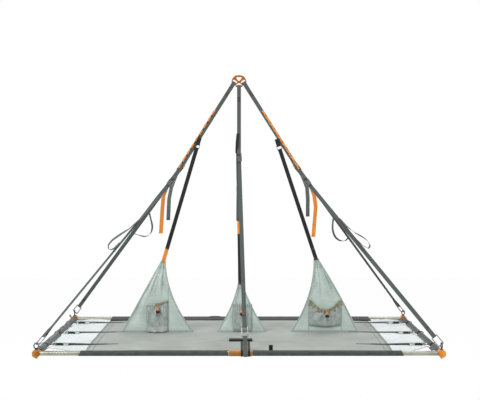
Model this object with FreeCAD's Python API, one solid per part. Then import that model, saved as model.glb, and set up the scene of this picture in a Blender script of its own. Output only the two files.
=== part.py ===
import FreeCAD, Part
import math
import os

from FreeCAD import Placement, Rotation, Vector

# Two-person portaledge hung from one ring. Millimetres, +X along the bed, +Y to the wall, +Z up.
# The origin is the point where an anchor bears on the top edge of the ring's eye.

# Ledge frame
FRAME_LENGTH = 2060.0
FRAME_DEPTH = 1200.0
FRAME_DROP = 1455.0
TUBE_R = 12.5
TUBE_BORE_R = 11.2
SPIGOT_R = 11.0
SPIGOT_LENGTH = 45.0
CORNER_WIDTH = 37.0
CORNER_HEIGHT = 39.0
CORNER_DEPTH = 44.0
CORNER_CHAMFER = 10.0
BOLT_R = 3.0
COLLAR_R = 8.0
COLLAR_HEIGHT = 3.0
NUT_R = 5.6
NUT_HEIGHT = 6.0
EYE_R = 14.0
EYE_WIRE_R = 3.0
FRONT_COUPLER_X = 8.5
FRONT_COUPLER_LENGTH = 119.0
REAR_COUPLER_X = -145.0
REAR_COUPLER_LENGTH = 60.0
COUPLER_R = 15.5
COUPLER_BORE_R = 12.7

# Webbing and the ring that gathers it
WEB_WIDTH = 22.0
WEB_THICK = 2.0
TRUNK_THICK = 2.4
RING_THICK = 8.0
RING_HALF_WIDTH = 42.0
RING_TOP = 11.0
RING_BOTTOM = -56.0
RING_BAR = 8.0
RING_FILLET = 1.6
SLOT_HALF = 13.0
SLOT_DEPTH = 13.0
MOON_R = 14.5
EYE_HALF = 21.0
EYE_DROP = 24.0
SIDE_BAR = Vector(29.0, 0, -34.0)
MIDDLE_BAR = Vector(0, 0, -52.0)
BAR_CLEAR_Y = 8.6
BAR_CLEAR_UP = 7.2
SIDE_FORK = Vector(356.0, 0, -552.0)
LAYER = 1.6
MERGE_RUN = 62.0

# Distances down each trunk strap, from its ring bar to where a strand turns off to its leg
SIDE_FRONT_FORK = 600.0
SIDE_REAR_FORK = 507.0
MIDDLE_FRONT_FORK = 346.0
MIDDLE_REAR_FORK = 536.0
FORK_TO_BUCKLE = 44.0

# Legs and slings: the turn near a leg's top, and the sewn loops at the feet
TWIST_RUN = 260.0
TWIST_STEPS = 4
LOOP_RUN = 58.0
LOOP_REACH = 4.6
FRONT_SLING_X = 33.0
REAR_SLING_X = 8.0
SLING_TOP = 88.0
SLING_SEAM = 26.0

# Cam buckle, along the leg from its upper bar
BUCKLE_BAR_R = 2.5
BAR_REACH = 4.7
BUCKLE_HALF = 14.5
BUCKLE_CHEEK = 2.0
PLATE_TOP = 9.8
PLATE_END = 46.0
PLATE_NEAR = 1.2
PLATE_THICK = 2.0
STUB_RISE = -(PLATE_NEAR + PLATE_THICK + 1.3)
CAM_AT = 24.0
CAM_RISE = 6.4
CAM_R = 5.0
CAM_PIN_R = 1.7
CAM_BORE_R = 1.78
CAM_LENGTH = 30.0
CAM_GAP = 0.6
PIN_HEAD_R = 2.6
PIN_HEAD = 1.0

# Carabiner, between the centres of its end bars
LINK_HALF = 15.5
LINK_LENGTH = 56.0
LINK_WIRE_R = 3.0
LINK_CORNER = 6.0
GATE_LOW = 11.0
GATE_HIGH = 47.0
GATE_R = 2.6
GATE_PIN_R = 1.0
GATE_BORE_R = 1.06
GATE_WEB = 1.3
EAR_NEAR = 1.5
EAR_FAR = 3.0

# Bed
BED_HALF = 793.0
BED_TOP = -1444.0
BED_THICK = 4.0
BED_EDGE = 587.6
SLING_NOTCH = 16.0
HEM_R = 14.0
HEM_BORE_R = 12.8
END_REACH = 1008.0
END_SCALLOP = 14.0
END_STEP = (888.0, 912.0)
END_LOW = 2.6
END_GAP = 1.1
END_CORNER = 862.0
END_HOLLOW = (960.0, 500.0)
END_PANEL_HALF = 560.0
STRAP_END = 913.0
TAB_HALF = 16.0
END_SLEEVE_HALF = 560.0
TENSION_Y = (-380.0, 0.0, 380.0)
LADDER_X = 950.0
LADDER_LENGTH = 30.0
LADDER_Z = BED_TOP - 1.5
LOCK_HIGH = 7.2
LOCK_BAR = 3.4

# Dividers, on the bed's centre line
DIVIDER_THICK = 3.0
DIVIDER_FOOT = -1443.7
APEX_LAP = 30.0
POCKET_DEPTH = 18.0
POCKET_WALL = 2.0
CORD_R = 2.0
PLUNGER_R = 4.1

# Largest share of a straight run that a rounded corner takes up
BEND_SHARE = 0.45

X = Vector(1, 0, 0)
Y = Vector(0, 1, 0)
Z = Vector(0, 0, 1)


def unit(v):
    return Vector(v).normalize()


def axes(origin, across, up):
    """Place a piece drawn with its width along X, its back along Y and its top along Z."""
    top = unit(up)
    side = unit(across - top * across.dot(top))
    return Placement(origin, Rotation(side, top.cross(side), top, "ZXY"))


def placed(shape, where):
    out = shape.copy()
    out.Placement = where.multiply(out.Placement)
    return out


def box(low, high):
    size = high - low
    return Part.makeBox(size.x, size.y, size.z, low)


def rod(start, end, radius):
    return Part.makeCylinder(radius, (end - start).Length, start, end - start)


def joined(solids):
    shape = solids[0].multiFuse(solids[1:]).removeSplitter()
    return shape.Solids[0] if len(shape.Solids) == 1 else shape


def turns(points, across, radius=None):
    """Stations of a path with rounded corners: each is a list of (point, left normal)."""
    stations = []
    for i, point in enumerate(points):
        if i in (0, len(points) - 1):
            run = points[1] - points[0] if i == 0 else points[-1] - points[-2]
            stations.append([(point, across.cross(unit(run)))])
            continue
        before = unit(point - points[i - 1])
        after = unit(points[i + 1] - point)
        shorter = min((point - points[i - 1]).Length, (points[i + 1] - point).Length)
        half = math.acos(max(-1.0, min(1.0, before.dot(after)))) / 2
        if half < 0.002:
            continue
        reach = BEND_SHARE * shorter
        if radius:
            reach = min(reach, radius * math.tan(half))
        arc = reach / math.tan(half)
        inward = unit(after - before)
        centre = point + inward * (arc / math.cos(half))
        middle = centre - inward * arc
        stations.append([
            (point - before * reach, across.cross(before)),
            (middle, across.cross(unit(before + after))),
            (point + after * reach, across.cross(after)),
        ])
    return stations


def side_edges(stations, offset):
    edges = []
    last = None
    for station in stations:
        spots = [point + normal * offset for point, normal in station]
        if last is not None:
            edges.append(Part.LineSegment(last, spots[0]).toShape())
        if len(spots) == 3:
            edges.append(Part.Arc(*spots).toShape())
        last = spots[-1]
    return edges


def band(points, across, width, thickness, radius=None):
    """Webbing of one width whose centre line bends only about its width direction."""
    across = unit(across)
    stations = turns(points, across, radius)
    left = side_edges(stations, thickness / 2)
    right = side_edges(stations, -thickness / 2)
    caps = [
        Part.LineSegment(left[0].valueAt(left[0].FirstParameter),
                         right[0].valueAt(right[0].FirstParameter)).toShape(),
        Part.LineSegment(left[-1].valueAt(left[-1].LastParameter),
                         right[-1].valueAt(right[-1].LastParameter)).toShape(),
    ]
    outline = Part.Wire(Part.__sortEdges__(left + right + caps))
    face = Part.Face(outline)
    face.translate(across * (-width / 2))
    return face.extrude(across * width)


def plate(points, radii, thickness):
    """Flat piece in the XZ plane, centred on Y = 0, its corners rounded one by one."""
    edges = []
    count = len(points)
    spots = []
    for i, point in enumerate(points):
        before = unit(point - points[i - 1])
        after = unit(points[(i + 1) % count] - point)
        half = math.acos(max(-1.0, min(1.0, before.dot(after)))) / 2
        reach = radii[i] * math.tan(half)
        if reach < 0.01:
            spots.append([point])
            continue
        inward = unit(after - before)
        centre = point + inward * (radii[i] / math.cos(half))
        spots.append([point - before * reach, centre - inward * radii[i], point + after * reach])
    for i, spot in enumerate(spots):
        if len(spot) == 3:
            edges.append(Part.Arc(*spot).toShape())
        edges.append(Part.LineSegment(spot[-1], spots[(i + 1) % count][0]).toShape())
    face = Part.Face(Part.Wire(edges))
    face.translate(Y * (-thickness / 2))
    return face.extrude(Y * thickness)


def wrap(bar, along, out, reach, run, layer):
    """Points of webbing that comes along a line, goes round a bar and lies back on itself."""
    return [
        bar - along * run,
        bar - along * (2 * reach) - out * reach,
        bar + along * reach - out * reach,
        bar + along * reach + out * reach,
        bar - along * (2 * reach) + out * reach,
        bar - along * (run - 4) + out * layer,
    ]


def xz(x, z):
    return Vector(x, 0, z)


# Trunk straps: one strap per hanging point goes round its ring bar, so that its front strand
# ends in the front leg's buckle and its rear strand in the rear leg's.

def trunk_line(side):
    bar = MIDDLE_BAR if side == 0 else Vector(side * SIDE_BAR.x, 0, SIDE_BAR.z)
    fork = Vector(side * SIDE_FORK.x, 0, SIDE_FORK.z)
    down = -Z if side == 0 else unit(fork - bar)
    return bar, down, down.cross(Y)


def corner_centre(side, row):
    return Vector(side * FRAME_LENGTH / 2, row * FRAME_DEPTH / 2, -FRAME_DROP)


def eye_centre(side, row):
    top = CORNER_HEIGHT / 2 + COLLAR_HEIGHT + EYE_R + EYE_WIRE_R - 1.0
    return corner_centre(side, row) + Z * top


def fork_point(side, row):
    bar, down, across = trunk_line(side)
    if side == 0:
        run = MIDDLE_FRONT_FORK if row < 0 else MIDDLE_REAR_FORK
    else:
        run = SIDE_FRONT_FORK if row < 0 else SIDE_REAR_FORK
    return bar + down * run + Y * (row * LAYER)


def twisted(side, row):
    """The front left and rear right legs hang with a part turn in them."""
    return side * row > 0


def level_with(v, direction):
    """The part of v that is square to a direction, as a unit vector."""
    return unit(v - direction * v.dot(direction))


def leg_line(side, row):
    """Buckle bar, direction down the leg, width at the top and at the foot, and the foot bar."""
    fork = fork_point(side, row)
    trunk_across = trunk_line(side)[2]
    if side == 0:
        end = Vector(FRONT_SLING_X if row < 0 else REAR_SLING_X, row * FRAME_DEPTH / 2, -FRAME_DROP)
        above = SLING_TOP
    else:
        end = eye_centre(side, row)
        above = 7.5 if twisted(side, row) else 5.0
    slope = unit(end - fork)
    foot = end - slope * (above + LINK_LENGTH)
    out = unit(slope.cross(trunk_across))
    out = out * (1 if out.y * row > 0 else -1)
    buckle = fork + level_with(slope, trunk_across) * FORK_TO_BUCKLE + out * BAR_REACH
    down = unit(foot - buckle)
    across = level_with(trunk_across, down)
    low_across = across
    if twisted(side, row):
        low_across = unit(Z.cross(down))
        low_across = low_across * (1 if low_across.dot(across) > 0 else -1)
    out = unit(down.cross(across))
    out = out * (1 if out.y * row > 0 else -1)
    return {"fork": fork, "down": down, "across": across, "low_across": low_across,
            "foot": foot, "buckle": buckle, "out": out}


LEGS = {}
for side, side_name in ((-1, "left"), (0, "middle"), (1, "right")):
    for row, row_name in ((-1, "front"), (1, "rear")):
        LEGS[row_name + "_" + side_name] = dict(leg_line(side, row), side=side, row=row)


def trunk_strap(side):
    bar, down, across = trunk_line(side)

    def at(run, y):
        return bar + down * run + Y * y

    def strand(row):
        leg = LEGS[("front_" if row < 0 else "rear_") + {-1: "left", 0: "middle", 1: "right"}[side]]
        slope = level_with(leg["down"], across)
        out = unit(across.cross(slope))
        out = out * (1 if out.y * row > 0 else -1)
        centre = leg["buckle"] - across * (leg["buckle"] - bar).dot(across)
        tip = wrap(centre, slope, out, BAR_REACH, 30.0, 1.5)
        tip[0] = leg["fork"]
        tip[5] = centre - slope * 28.0 - out * 1.9
        return tip

    front = strand(-1)
    rear = strand(1)
    points = front[::-1]
    points += [at(MERGE_RUN, -LAYER), at(20.0, -BAR_CLEAR_Y), at(-BAR_CLEAR_UP, -BAR_CLEAR_Y)]
    points += [at(-BAR_CLEAR_UP, BAR_CLEAR_Y), at(20.0, BAR_CLEAR_Y), at(MERGE_RUN, LAYER)]
    points += rear
    return band(points, across, WEB_WIDTH, TRUNK_THICK, radius=60.0)


# Master ring: a flat forged plate with an eye on top, two slots at its sides and one below

def rounded_slot(side):
    bar, down, across = trunk_line(side)
    middle = bar - down * (RING_BAR / 2 + SLOT_DEPTH / 2)
    corners = []
    for along, out in ((-1, 1), (1, 1), (1, -1), (-1, -1)):
        corners.append(middle + across * (SLOT_HALF * along) + down * (SLOT_DEPTH / 2 * out))
    return plate(corners, [3.5, 3.5, 5.5, 5.5], RING_THICK * 2)


def half_moon():
    low = RING_BOTTOM + RING_BAR
    arch = Part.makeCylinder(MOON_R, RING_THICK * 2, Vector(0, -RING_THICK, low), Y)
    keep = box(Vector(-MOON_R, -RING_THICK, low), Vector(MOON_R, RING_THICK, low + MOON_R))
    return arch.common(keep)


def master_ring():
    bar, down, across = trunk_line(-1)
    edge = bar + down * (RING_BAR / 2)
    waist = edge + across * 10.8
    shoulder = xz(-RING_HALF_WIDTH, (edge - across * 12.5).z)
    left = [shoulder, waist, xz(-18.5, RING_BOTTOM)]
    right = [xz(-p.x, p.z) for p in reversed(left)]
    crown = [xz(RING_HALF_WIDTH, RING_TOP), xz(-RING_HALF_WIDTH, RING_TOP)]
    shape = plate(left + right + crown, [3.0, 5.0, 6.0, 6.0, 5.0, 3.0, 38.0, 38.0], RING_THICK)
    eye = plate([xz(-EYE_HALF, 0), xz(EYE_HALF, 0), xz(0, -EYE_DROP)], [5.0] * 3, RING_THICK * 2)
    for hole in (eye, rounded_slot(-1), rounded_slot(1), half_moon()):
        shape = shape.cut(hole)
    shape = shape.removeSplitter()
    rims = []
    for rim in shape.Edges:
        ends = [v.Point.y for v in rim.Vertexes]
        if min(ends) == max(ends) and abs(abs(ends[0]) - RING_THICK / 2) < 0.01:
            rims.append(rim)
    return shape.makeFillet(RING_FILLET, rims).Solids[0]


# Legs: adjustable webbing from each cam buckle down to its carabiner

def twist(top, foot, top_across, foot_across):
    """Straight webbing that turns evenly from one width direction to another."""
    sections = []
    down = unit(foot - top)
    for i in range(TWIST_STEPS + 1):
        share = i / TWIST_STEPS
        centre = top + (foot - top) * share
        across = level_with(top_across * (1 - share) + foot_across * share, down)
        out = down.cross(across)
        half_w = across * (WEB_WIDTH / 2)
        half_t = out * (WEB_THICK / 2)
        ring = [centre + half_w + half_t, centre - half_w + half_t, centre - half_w - half_t,
                centre + half_w - half_t]
        sections.append(Part.makePolygon(ring + [ring[0]]))
    return Part.makeLoft(sections, True, True)


def leg_strap(leg):
    down = leg["down"]
    out = leg["out"]
    start = leg["buckle"]

    def at(run, rise):
        return start + down * run + out * rise

    head = [at(PLATE_END + 14, STUB_RISE), at(8.1, STUB_RISE), at(8.1, 0), at(PLATE_END + 20, 0)]
    top = band(head, leg["across"], WEB_WIDTH, WEB_THICK)
    foot = leg["foot"]
    low_out = unit(down.cross(leg["low_across"]))
    ending = wrap(foot, down, low_out, LOOP_REACH, LOOP_RUN, 2.4)
    low = band(ending, leg["low_across"], WEB_WIDTH, WEB_THICK, radius=40.0)
    begin = at(PLATE_END + 20, 0)
    turned = begin + down * TWIST_RUN
    upper = twist(begin, turned, leg["across"], leg["low_across"])
    lower = twist(turned, foot - down * LOOP_RUN, leg["low_across"], leg["low_across"])
    return joined([top, low, upper, lower])


# Cam buckles: a folded frame with an upper bar, and a toothed cam on a pin between its cheeks

def buckle_place(leg):
    return axes(leg["buckle"], leg["across"], -leg["down"])


def outward(leg):
    """+1 where the buckle's own Y points to the outer face of its leg, -1 where it points inward."""
    back = (-leg["down"]).cross(leg["across"])
    return 1 if back.dot(leg["out"]) > 0 else -1


def cam_frame(leg):
    face = outward(leg)
    inner = BUCKLE_HALF - BUCKLE_CHEEK

    def slab(x0, x1, out0, out1, run0, run1):
        lows = sorted((face * out0, face * out1))
        return box(Vector(x0, lows[0], -run1), Vector(x1, lows[1], -run0))

    pieces = [slab(-inner, inner, -PLATE_NEAR - PLATE_THICK, -PLATE_NEAR, PLATE_TOP, PLATE_END)]
    for side in (-1, 1):
        x0, x1 = sorted((side * inner, side * BUCKLE_HALF))
        pieces.append(slab(x0, x1, -PLATE_NEAR - PLATE_THICK, 4.0, -4.5, PLATE_END))
        pieces.append(slab(x0, x1, -PLATE_NEAR - PLATE_THICK, CAM_RISE + 4.5, CAM_AT - 8, CAM_AT + 8))
    pieces.append(rod(Vector(-inner, 0, 0), Vector(inner, 0, 0), BUCKLE_BAR_R))
    pin = rod(Vector(-20, face * CAM_RISE, -CAM_AT), Vector(20, face * CAM_RISE, -CAM_AT), CAM_PIN_R)
    return placed(joined(pieces).cut(pin), buckle_place(leg))


def cam_pin(leg):
    face = outward(leg)
    end = Vector(BUCKLE_HALF, face * CAM_RISE, -CAM_AT)
    pin = rod(Vector(-BUCKLE_HALF, end.y, end.z), end, CAM_PIN_R)
    heads = []
    for side in (-1, 1):
        root = Vector(side * BUCKLE_HALF, end.y, end.z)
        heads.append(rod(root, root + X * (side * PIN_HEAD), PIN_HEAD_R))
    return placed(joined([pin] + heads), buckle_place(leg))


def cam(leg):
    face = outward(leg)
    half = BUCKLE_HALF - BUCKLE_CHEEK - CAM_GAP
    axis = Vector(half, face * CAM_RISE, -CAM_AT)
    drum = rod(Vector(-half, axis.y, axis.z), axis, CAM_R)
    lows = sorted((face * (CAM_RISE + 1.6), face * (CAM_RISE + 4.4)))
    lever = box(Vector(-half + 2, lows[0], -CAM_AT - CAM_LENGTH), Vector(half - 2, lows[1], -CAM_AT))
    grip = rod(Vector(-half + 2, face * (CAM_RISE + 4.0), -CAM_AT - CAM_LENGTH),
               Vector(half - 2, face * (CAM_RISE + 4.0), -CAM_AT - CAM_LENGTH), 2.4)
    bore = rod(Vector(-20, axis.y, axis.z), Vector(20, axis.y, axis.z), CAM_BORE_R)
    return placed(joined([drum, lever, grip]).cut(bore), buckle_place(leg))


# Carabiners: bent rod with a sprung gate between a clevis and the nose

def link_place(leg):
    return axes(leg["foot"] + leg["down"] * LINK_LENGTH, leg["low_across"], -leg["down"])


def bent_rod(points, radius, bend):
    stations = turns(points, Y, bend)
    wire = Part.Wire(Part.__sortEdges__(side_edges(stations, 0)))
    first = unit(points[1] - points[0])
    circle = Part.Wire(Part.makeCircle(radius, points[0], first))
    return wire.makePipeShell([circle], True, False)


def carabiner(leg):
    h = LINK_HALF
    points = [xz(h, GATE_LOW - 4), xz(h, 0), xz(-h, 0), xz(-h, LINK_LENGTH), xz(h, LINK_LENGTH)]
    points.append(xz(h, GATE_HIGH))
    body = bent_rod(points, LINK_WIRE_R, LINK_CORNER)
    ears = []
    for side in (-1, 1):
        y0, y1 = sorted((side * EAR_NEAR, side * EAR_FAR))
        ears.append(box(Vector(h - 3, y0, GATE_LOW - 5), Vector(h + 3, y1, GATE_LOW + 2.2)))
    pin = rod(Vector(h, -4, GATE_LOW), Vector(h, 4, GATE_LOW), GATE_PIN_R)
    return placed(joined([body] + ears).cut(pin), link_place(leg))


def gate_pin(leg):
    h = LINK_HALF
    return placed(rod(Vector(h, -3.2, GATE_LOW), Vector(h, 3.2, GATE_LOW), GATE_PIN_R), link_place(leg))


def gate(leg):
    h = LINK_HALF
    lug = rod(Vector(h, -GATE_WEB, GATE_LOW), Vector(h, GATE_WEB, GATE_LOW), GATE_R)
    web = box(Vector(h - 2.2, -GATE_WEB, GATE_LOW), Vector(h + 2.2, GATE_WEB, GATE_LOW + 6))
    bar = rod(xz(h, GATE_LOW + 5), xz(h, GATE_HIGH - 0.7), GATE_R)
    bore = rod(Vector(h, -4, GATE_LOW), Vector(h, 4, GATE_LOW), GATE_BORE_R)
    return placed(joined([bar, web, lug]).cut(bore), link_place(leg))


# Slings: webbing loops that hold the middle legs' carabiners to the beams

def sling(leg):
    down = leg["down"]
    out = unit(down.cross(leg["across"]))
    ring = COUPLER_R + 0.7 + WEB_THICK / 2
    centre = leg["foot"] + down * (SLING_TOP + LINK_LENGTH)
    top = centre - down * SLING_TOP

    def at(run, rise):
        return centre - down * run + out * rise

    reach = LOOP_REACH
    points = [at(38, -1.2), at(ring, -ring), at(-ring, -ring), at(-ring, ring), at(ring, ring)]
    points += [at(38, 1.2), at(SLING_TOP - SLING_SEAM, 1.2)]
    points += [top + down * 6 + out * reach, top - down * reach + out * reach]
    points.append(top - down * reach - out * reach)
    points += [top + down * 6 - out * reach, at(SLING_TOP - SLING_SEAM, -1.2), at(41, -1.2)]
    return band(points, leg["across"], WEB_WIDTH, WEB_THICK)


# Frame tubes, couplers and corners

def tube(start, end, outer=TUBE_R, inner=TUBE_BORE_R):
    return rod(start, end, outer).cut(rod(start, end, inner))


def corner_block(side, row):
    w = CORNER_WIDTH / 2
    h = CORNER_HEIGHT / 2
    c = CORNER_CHAMFER
    outline = [xz(-w, -h + c), xz(-w + c, -h), xz(w - c, -h), xz(w, -h + c),
               xz(w, h - c), xz(w - c, h), xz(-w + c, h), xz(-w, h - c)]
    block = plate(outline, [2.0] * 8, CORNER_DEPTH)
    stub_x = rod(xz(-side * (w - 2), 0), xz(-side * (w + SPIGOT_LENGTH), 0), SPIGOT_R)
    d = CORNER_DEPTH / 2
    stub_y = rod(Vector(0, -row * (d - 2), 0), Vector(0, -row * (d + SPIGOT_LENGTH), 0), SPIGOT_R)
    bolt = rod(xz(0, -h - 1), xz(0, h + 1), BOLT_R + 0.2)
    block = joined([block, stub_x, stub_y]).cut(bolt)
    return placed(block, Placement(corner_centre(side, row), Rotation()))


def eye_bolt(leg):
    side, row = leg["side"], leg["row"]
    eye = eye_centre(side, row)
    centre = corner_centre(side, row)
    top = centre + Z * (CORNER_HEIGHT / 2)
    level = Vector(leg["low_across"].x, leg["low_across"].y, 0)
    ring = Part.makeTorus(EYE_R, EYE_WIRE_R, eye, unit(level))
    collar = rod(top + Z * 0.1, top + Z * COLLAR_HEIGHT, COLLAR_R)
    shank = rod(top - Z * (CORNER_HEIGHT + NUT_HEIGHT + 1.5), top + Z, BOLT_R)
    return joined([ring, collar, shank])


def corner_nut(side, row):
    under = corner_centre(side, row) - Z * (CORNER_HEIGHT / 2 + 0.1)
    turn = [Vector(NUT_R * math.cos(a * math.pi / 3), NUT_R * math.sin(a * math.pi / 3), 0) for a in range(7)]
    prism = Part.Face(Part.makePolygon([under + v for v in turn])).extrude(-Z * NUT_HEIGHT)
    return prism.cut(rod(under + Z, under - Z * (NUT_HEIGHT + 1), BOLT_R + 0.05))


def beam_point(x, row):
    return Vector(x, row * FRAME_DEPTH / 2, -FRAME_DROP)


def coupler_span(row):
    if row < 0:
        return FRONT_COUPLER_X, FRONT_COUPLER_LENGTH
    return REAR_COUPLER_X, REAR_COUPLER_LENGTH


def beam_tubes():
    out = []
    face = FRAME_LENGTH / 2 - CORNER_WIDTH / 2
    for row in (-1, 1):
        joint = coupler_span(row)[0]
        out.append(tube(beam_point(-face, row), beam_point(joint - 0.3, row)))
        out.append(tube(beam_point(joint + 0.3, row), beam_point(face, row)))
    return out


def end_tubes():
    reach = FRAME_DEPTH / 2 - CORNER_DEPTH / 2
    out = []
    for side in (-1, 1):
        x = side * FRAME_LENGTH / 2
        out.append(tube(Vector(x, -reach, -FRAME_DROP), Vector(x, reach, -FRAME_DROP)))
    return out


def coupler(row):
    centre, length = coupler_span(row)
    low, high = beam_point(centre - length / 2, row), beam_point(centre + length / 2, row)
    sleeve = tube(low, high, COUPLER_R, COUPLER_BORE_R)
    return sleeve.makeChamfer(1.5, [e for e in sleeve.Edges if abs(e.Length - 2 * math.pi * COUPLER_R) < 0.1])


def beam_spigots():
    out = []
    for row in (-1, 1):
        joint = coupler_span(row)[0]
        out.append(tube(beam_point(joint - 70, row), beam_point(joint + 70, row), SPIGOT_R, SPIGOT_R - 2.0))
    return out


# Bed: coated fabric stretched between the beams by sewn sleeves, and to the ends by straps

def hem(low_x, high_x, row):
    return tube(beam_point(low_x, row), beam_point(high_x, row), HEM_R, HEM_BORE_R)


def front_hem():
    low = FRONT_COUPLER_X - FRONT_COUPLER_LENGTH / 2 - 4
    high = FRONT_COUPLER_X + FRONT_COUPLER_LENGTH / 2 + 1
    return [hem(-817.0, low, -1), hem(high, 837.0, -1)]


def rear_hem():
    half = REAR_COUPLER_LENGTH / 2 + 4
    bulge = tube(beam_point(REAR_COUPLER_X - half, 1), beam_point(REAR_COUPLER_X + half, 1),
                 COUPLER_R + 1.6, COUPLER_R + 0.3)
    left = hem(-794.0, REAR_COUPLER_X - half, 1)
    right = hem(REAR_COUPLER_X + half, 822.0, 1)
    walls = [tube(beam_point(REAR_COUPLER_X + s * half - (1.2 if s > 0 else 0), 1),
                  beam_point(REAR_COUPLER_X + s * half + (1.2 if s < 0 else 0), 1),
                  COUPLER_R + 1.6, HEM_BORE_R) for s in (-1, 1)]
    return joined([bulge, left, right] + walls)


def bed_panel():
    """Flat sheet with its edges hollowed where the couplers and slings stand out of the hems."""
    panel = box(Vector(-BED_HALF, -BED_EDGE, BED_TOP - BED_THICK), Vector(BED_HALF, BED_EDGE, BED_TOP))
    for row, sling_x in ((-1, FRONT_SLING_X), (1, REAR_SLING_X)):
        joint, length = coupler_span(row)
        reach = length / 2 + 6
        ends = (beam_point(joint - reach, row), beam_point(joint + reach, row))
        panel = panel.cut(rod(*ends, COUPLER_R + 2.4))
        reach = WEB_WIDTH / 2 + 1.5
        edge = sorted((row * (BED_EDGE - SLING_NOTCH), row * (BED_EDGE + 1)))
        low = Vector(sling_x - reach, edge[0], BED_TOP - BED_THICK - 1)
        panel = panel.cut(box(low, Vector(sling_x + reach, edge[1], BED_TOP + 1)))
    return panel


def end_panel(side):
    """Tensioning panel: it steps down under the ladder locks, and its edge curves in between them."""
    low = LADDER_Z - LOCK_HIGH / 2 - END_GAP
    profile = [(BED_HALF + 0.4, BED_TOP), (END_STEP[0], BED_TOP), (END_STEP[1], low), (END_REACH, low),
               (END_REACH, low - END_LOW), (END_STEP[1] - 2, low - END_LOW),
               (END_STEP[0] - 2, BED_TOP - BED_THICK), (BED_HALF + 0.4, BED_TOP - BED_THICK)]
    corners = [Vector(side * x, -END_PANEL_HALF, z) for x, z in profile]
    sheet = Part.Face(Part.makePolygon(corners + [corners[0]])).extrude(Y * 2 * END_PANEL_HALF)

    def spot(x, y):
        return Vector(side * x, y, BED_TOP - 30)

    def line(start, end):
        return Part.LineSegment(start, end).toShape()

    def curve(start, middle, end):
        return Part.Arc(start, middle, end).toShape()

    inner = BED_HALF - 1
    tabs = [(spot(END_REACH + 1, y - TAB_HALF), spot(END_REACH + 1, y + TAB_HALF)) for y in TENSION_Y]
    starts = [spot(END_CORNER, s * (END_PANEL_HALF + 1)) for s in (-1, 1)]
    hollow = [spot(END_HOLLOW[0], s * END_HOLLOW[1]) for s in (-1, 1)]
    edges = [line(spot(inner, starts[0].y), starts[0]), curve(starts[0], hollow[0], tabs[0][0])]
    for i, (near, far) in enumerate(tabs):
        edges.append(line(near, far))
        if i < len(tabs) - 1:
            start, end = far, tabs[i + 1][0]
            edges.append(curve(start, (start + end) * 0.5 - X * (side * END_SCALLOP), end))
    edges += [curve(tabs[-1][1], hollow[1], starts[1]), line(starts[1], spot(inner, starts[1].y))]
    edges.append(line(spot(inner, starts[1].y), spot(inner, starts[0].y)))
    return sheet.common(Part.Face(Part.Wire(edges)).extrude(Z * 60))


def end_sleeve(side):
    x = side * FRAME_LENGTH / 2
    ends = [Vector(x, s * END_SLEEVE_HALF, -FRAME_DROP) for s in (-1, 1)]
    return tube(ends[0], ends[1], HEM_R, HEM_BORE_R)


def ladder_lock(side, y):
    """Moulded frame: two rails, three bars with a strap round each outer one, and two lifting ears."""
    x = side * LADDER_X
    half = LADDER_LENGTH / 2
    rail = LOCK_HIGH / 2
    frame = box(Vector(x - half, y - 16, LADDER_Z - rail), Vector(x + half, y + 16, LADDER_Z + rail))
    hollow = Vector(half + 1, 12.5, rail + 1)
    for s in (-1, 1):
        middle = Vector(x, y, LADDER_Z + s * (rail + 1 + LOCK_BAR / 2))
        frame = frame.cut(box(middle - hollow, middle + hollow))
    for low, high in ((-half + 3.5, -2.5), (2.5, half - 3.5)):
        slot = (Vector(x + low, y - 12.5, LADDER_Z - 3), Vector(x + high, y + 12.5, LADDER_Z + 3))
        frame = frame.cut(box(*slot))
    tip = x + side * half
    lip = [Vector(tip + side * out, y - 15, LADDER_Z + rise)
           for out, rise in ((-2, 0.5), (6, rail), (6, rail + 2), (-2, 2.5))]
    ear = Part.Face(Part.makePolygon(lip + [lip[0]])).extrude(Y * 3)
    return joined([frame, ear, ear.translated(Y * 27)])


def tension_strap(side, y):
    """One strap sewn to the bed ends in the lock, and one goes from it round the end sleeve."""
    along = X * side
    bar = Vector(side * (LADDER_X - LADDER_LENGTH / 2 + 1.75), y, LADDER_Z)
    far = Vector(side * (LADDER_X + LADDER_LENGTH / 2 - 1.75), y, LADDER_Z)
    lie = BED_TOP + 2.8
    across, rise = 3.4, 3.3
    inner = [Vector(side * 780, y, lie), Vector(side * STRAP_END, y, lie)]
    inner += [bar - along * 9 + Z * rise, bar + along * across + Z * rise,
              bar + along * across - Z * rise, bar - along * 6 - Z * rise]
    tube_x = side * FRAME_LENGTH / 2
    r = HEM_R + 1.9
    z = -FRAME_DROP
    outer = [far + along * 26 + Z * rise, far - along * across + Z * rise,
             far - along * across - Z * rise, far + along * 9 - Z * rise,
             Vector(tube_x - side * (r + 2), y, z + 6), Vector(tube_x - side * 9, y, z + r),
             Vector(tube_x + side * r, y, z + r), Vector(tube_x + side * r, y, z - r),
             Vector(tube_x - side * 10, y, z - r), Vector(side * (LADDER_X + 34), y, z + 1.0)]
    return [band(inner, Y, WEB_WIDTH, 1.6), band(outer, Y, WEB_WIDTH, 1.6)]


def bed_patches():
    """Reinforcing webbing sewn on the bed: one tapered piece per strap and a T by the front beam."""
    out = []
    z = BED_TOP + 0.2
    for side in (-1, 1):
        for y in TENSION_Y:
            tip = side * (712.0 if side < 0 else 690.0)
            wide = side * 770.0
            outline = [Vector(tip, y - 4, z), Vector(wide, y - 15, z), Vector(wide, y + 15, z),
                       Vector(tip, y + 4, z)]
            out.append(Part.Face(Part.makePolygon(outline + [outline[0]])).extrude(Z * 1.6))
    cross = box(Vector(-53, -242, z), Vector(71, -205, z + 1.6))
    strips = [box(Vector(x, -576, z), Vector(x + 14, -242, z + 1.6)) for x in (5.0, 47.0)]
    out.append(joined([cross] + strips))
    return out


# Dividers: fabric triangles that stand on the bed's centre line, each hung by a strap

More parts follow.
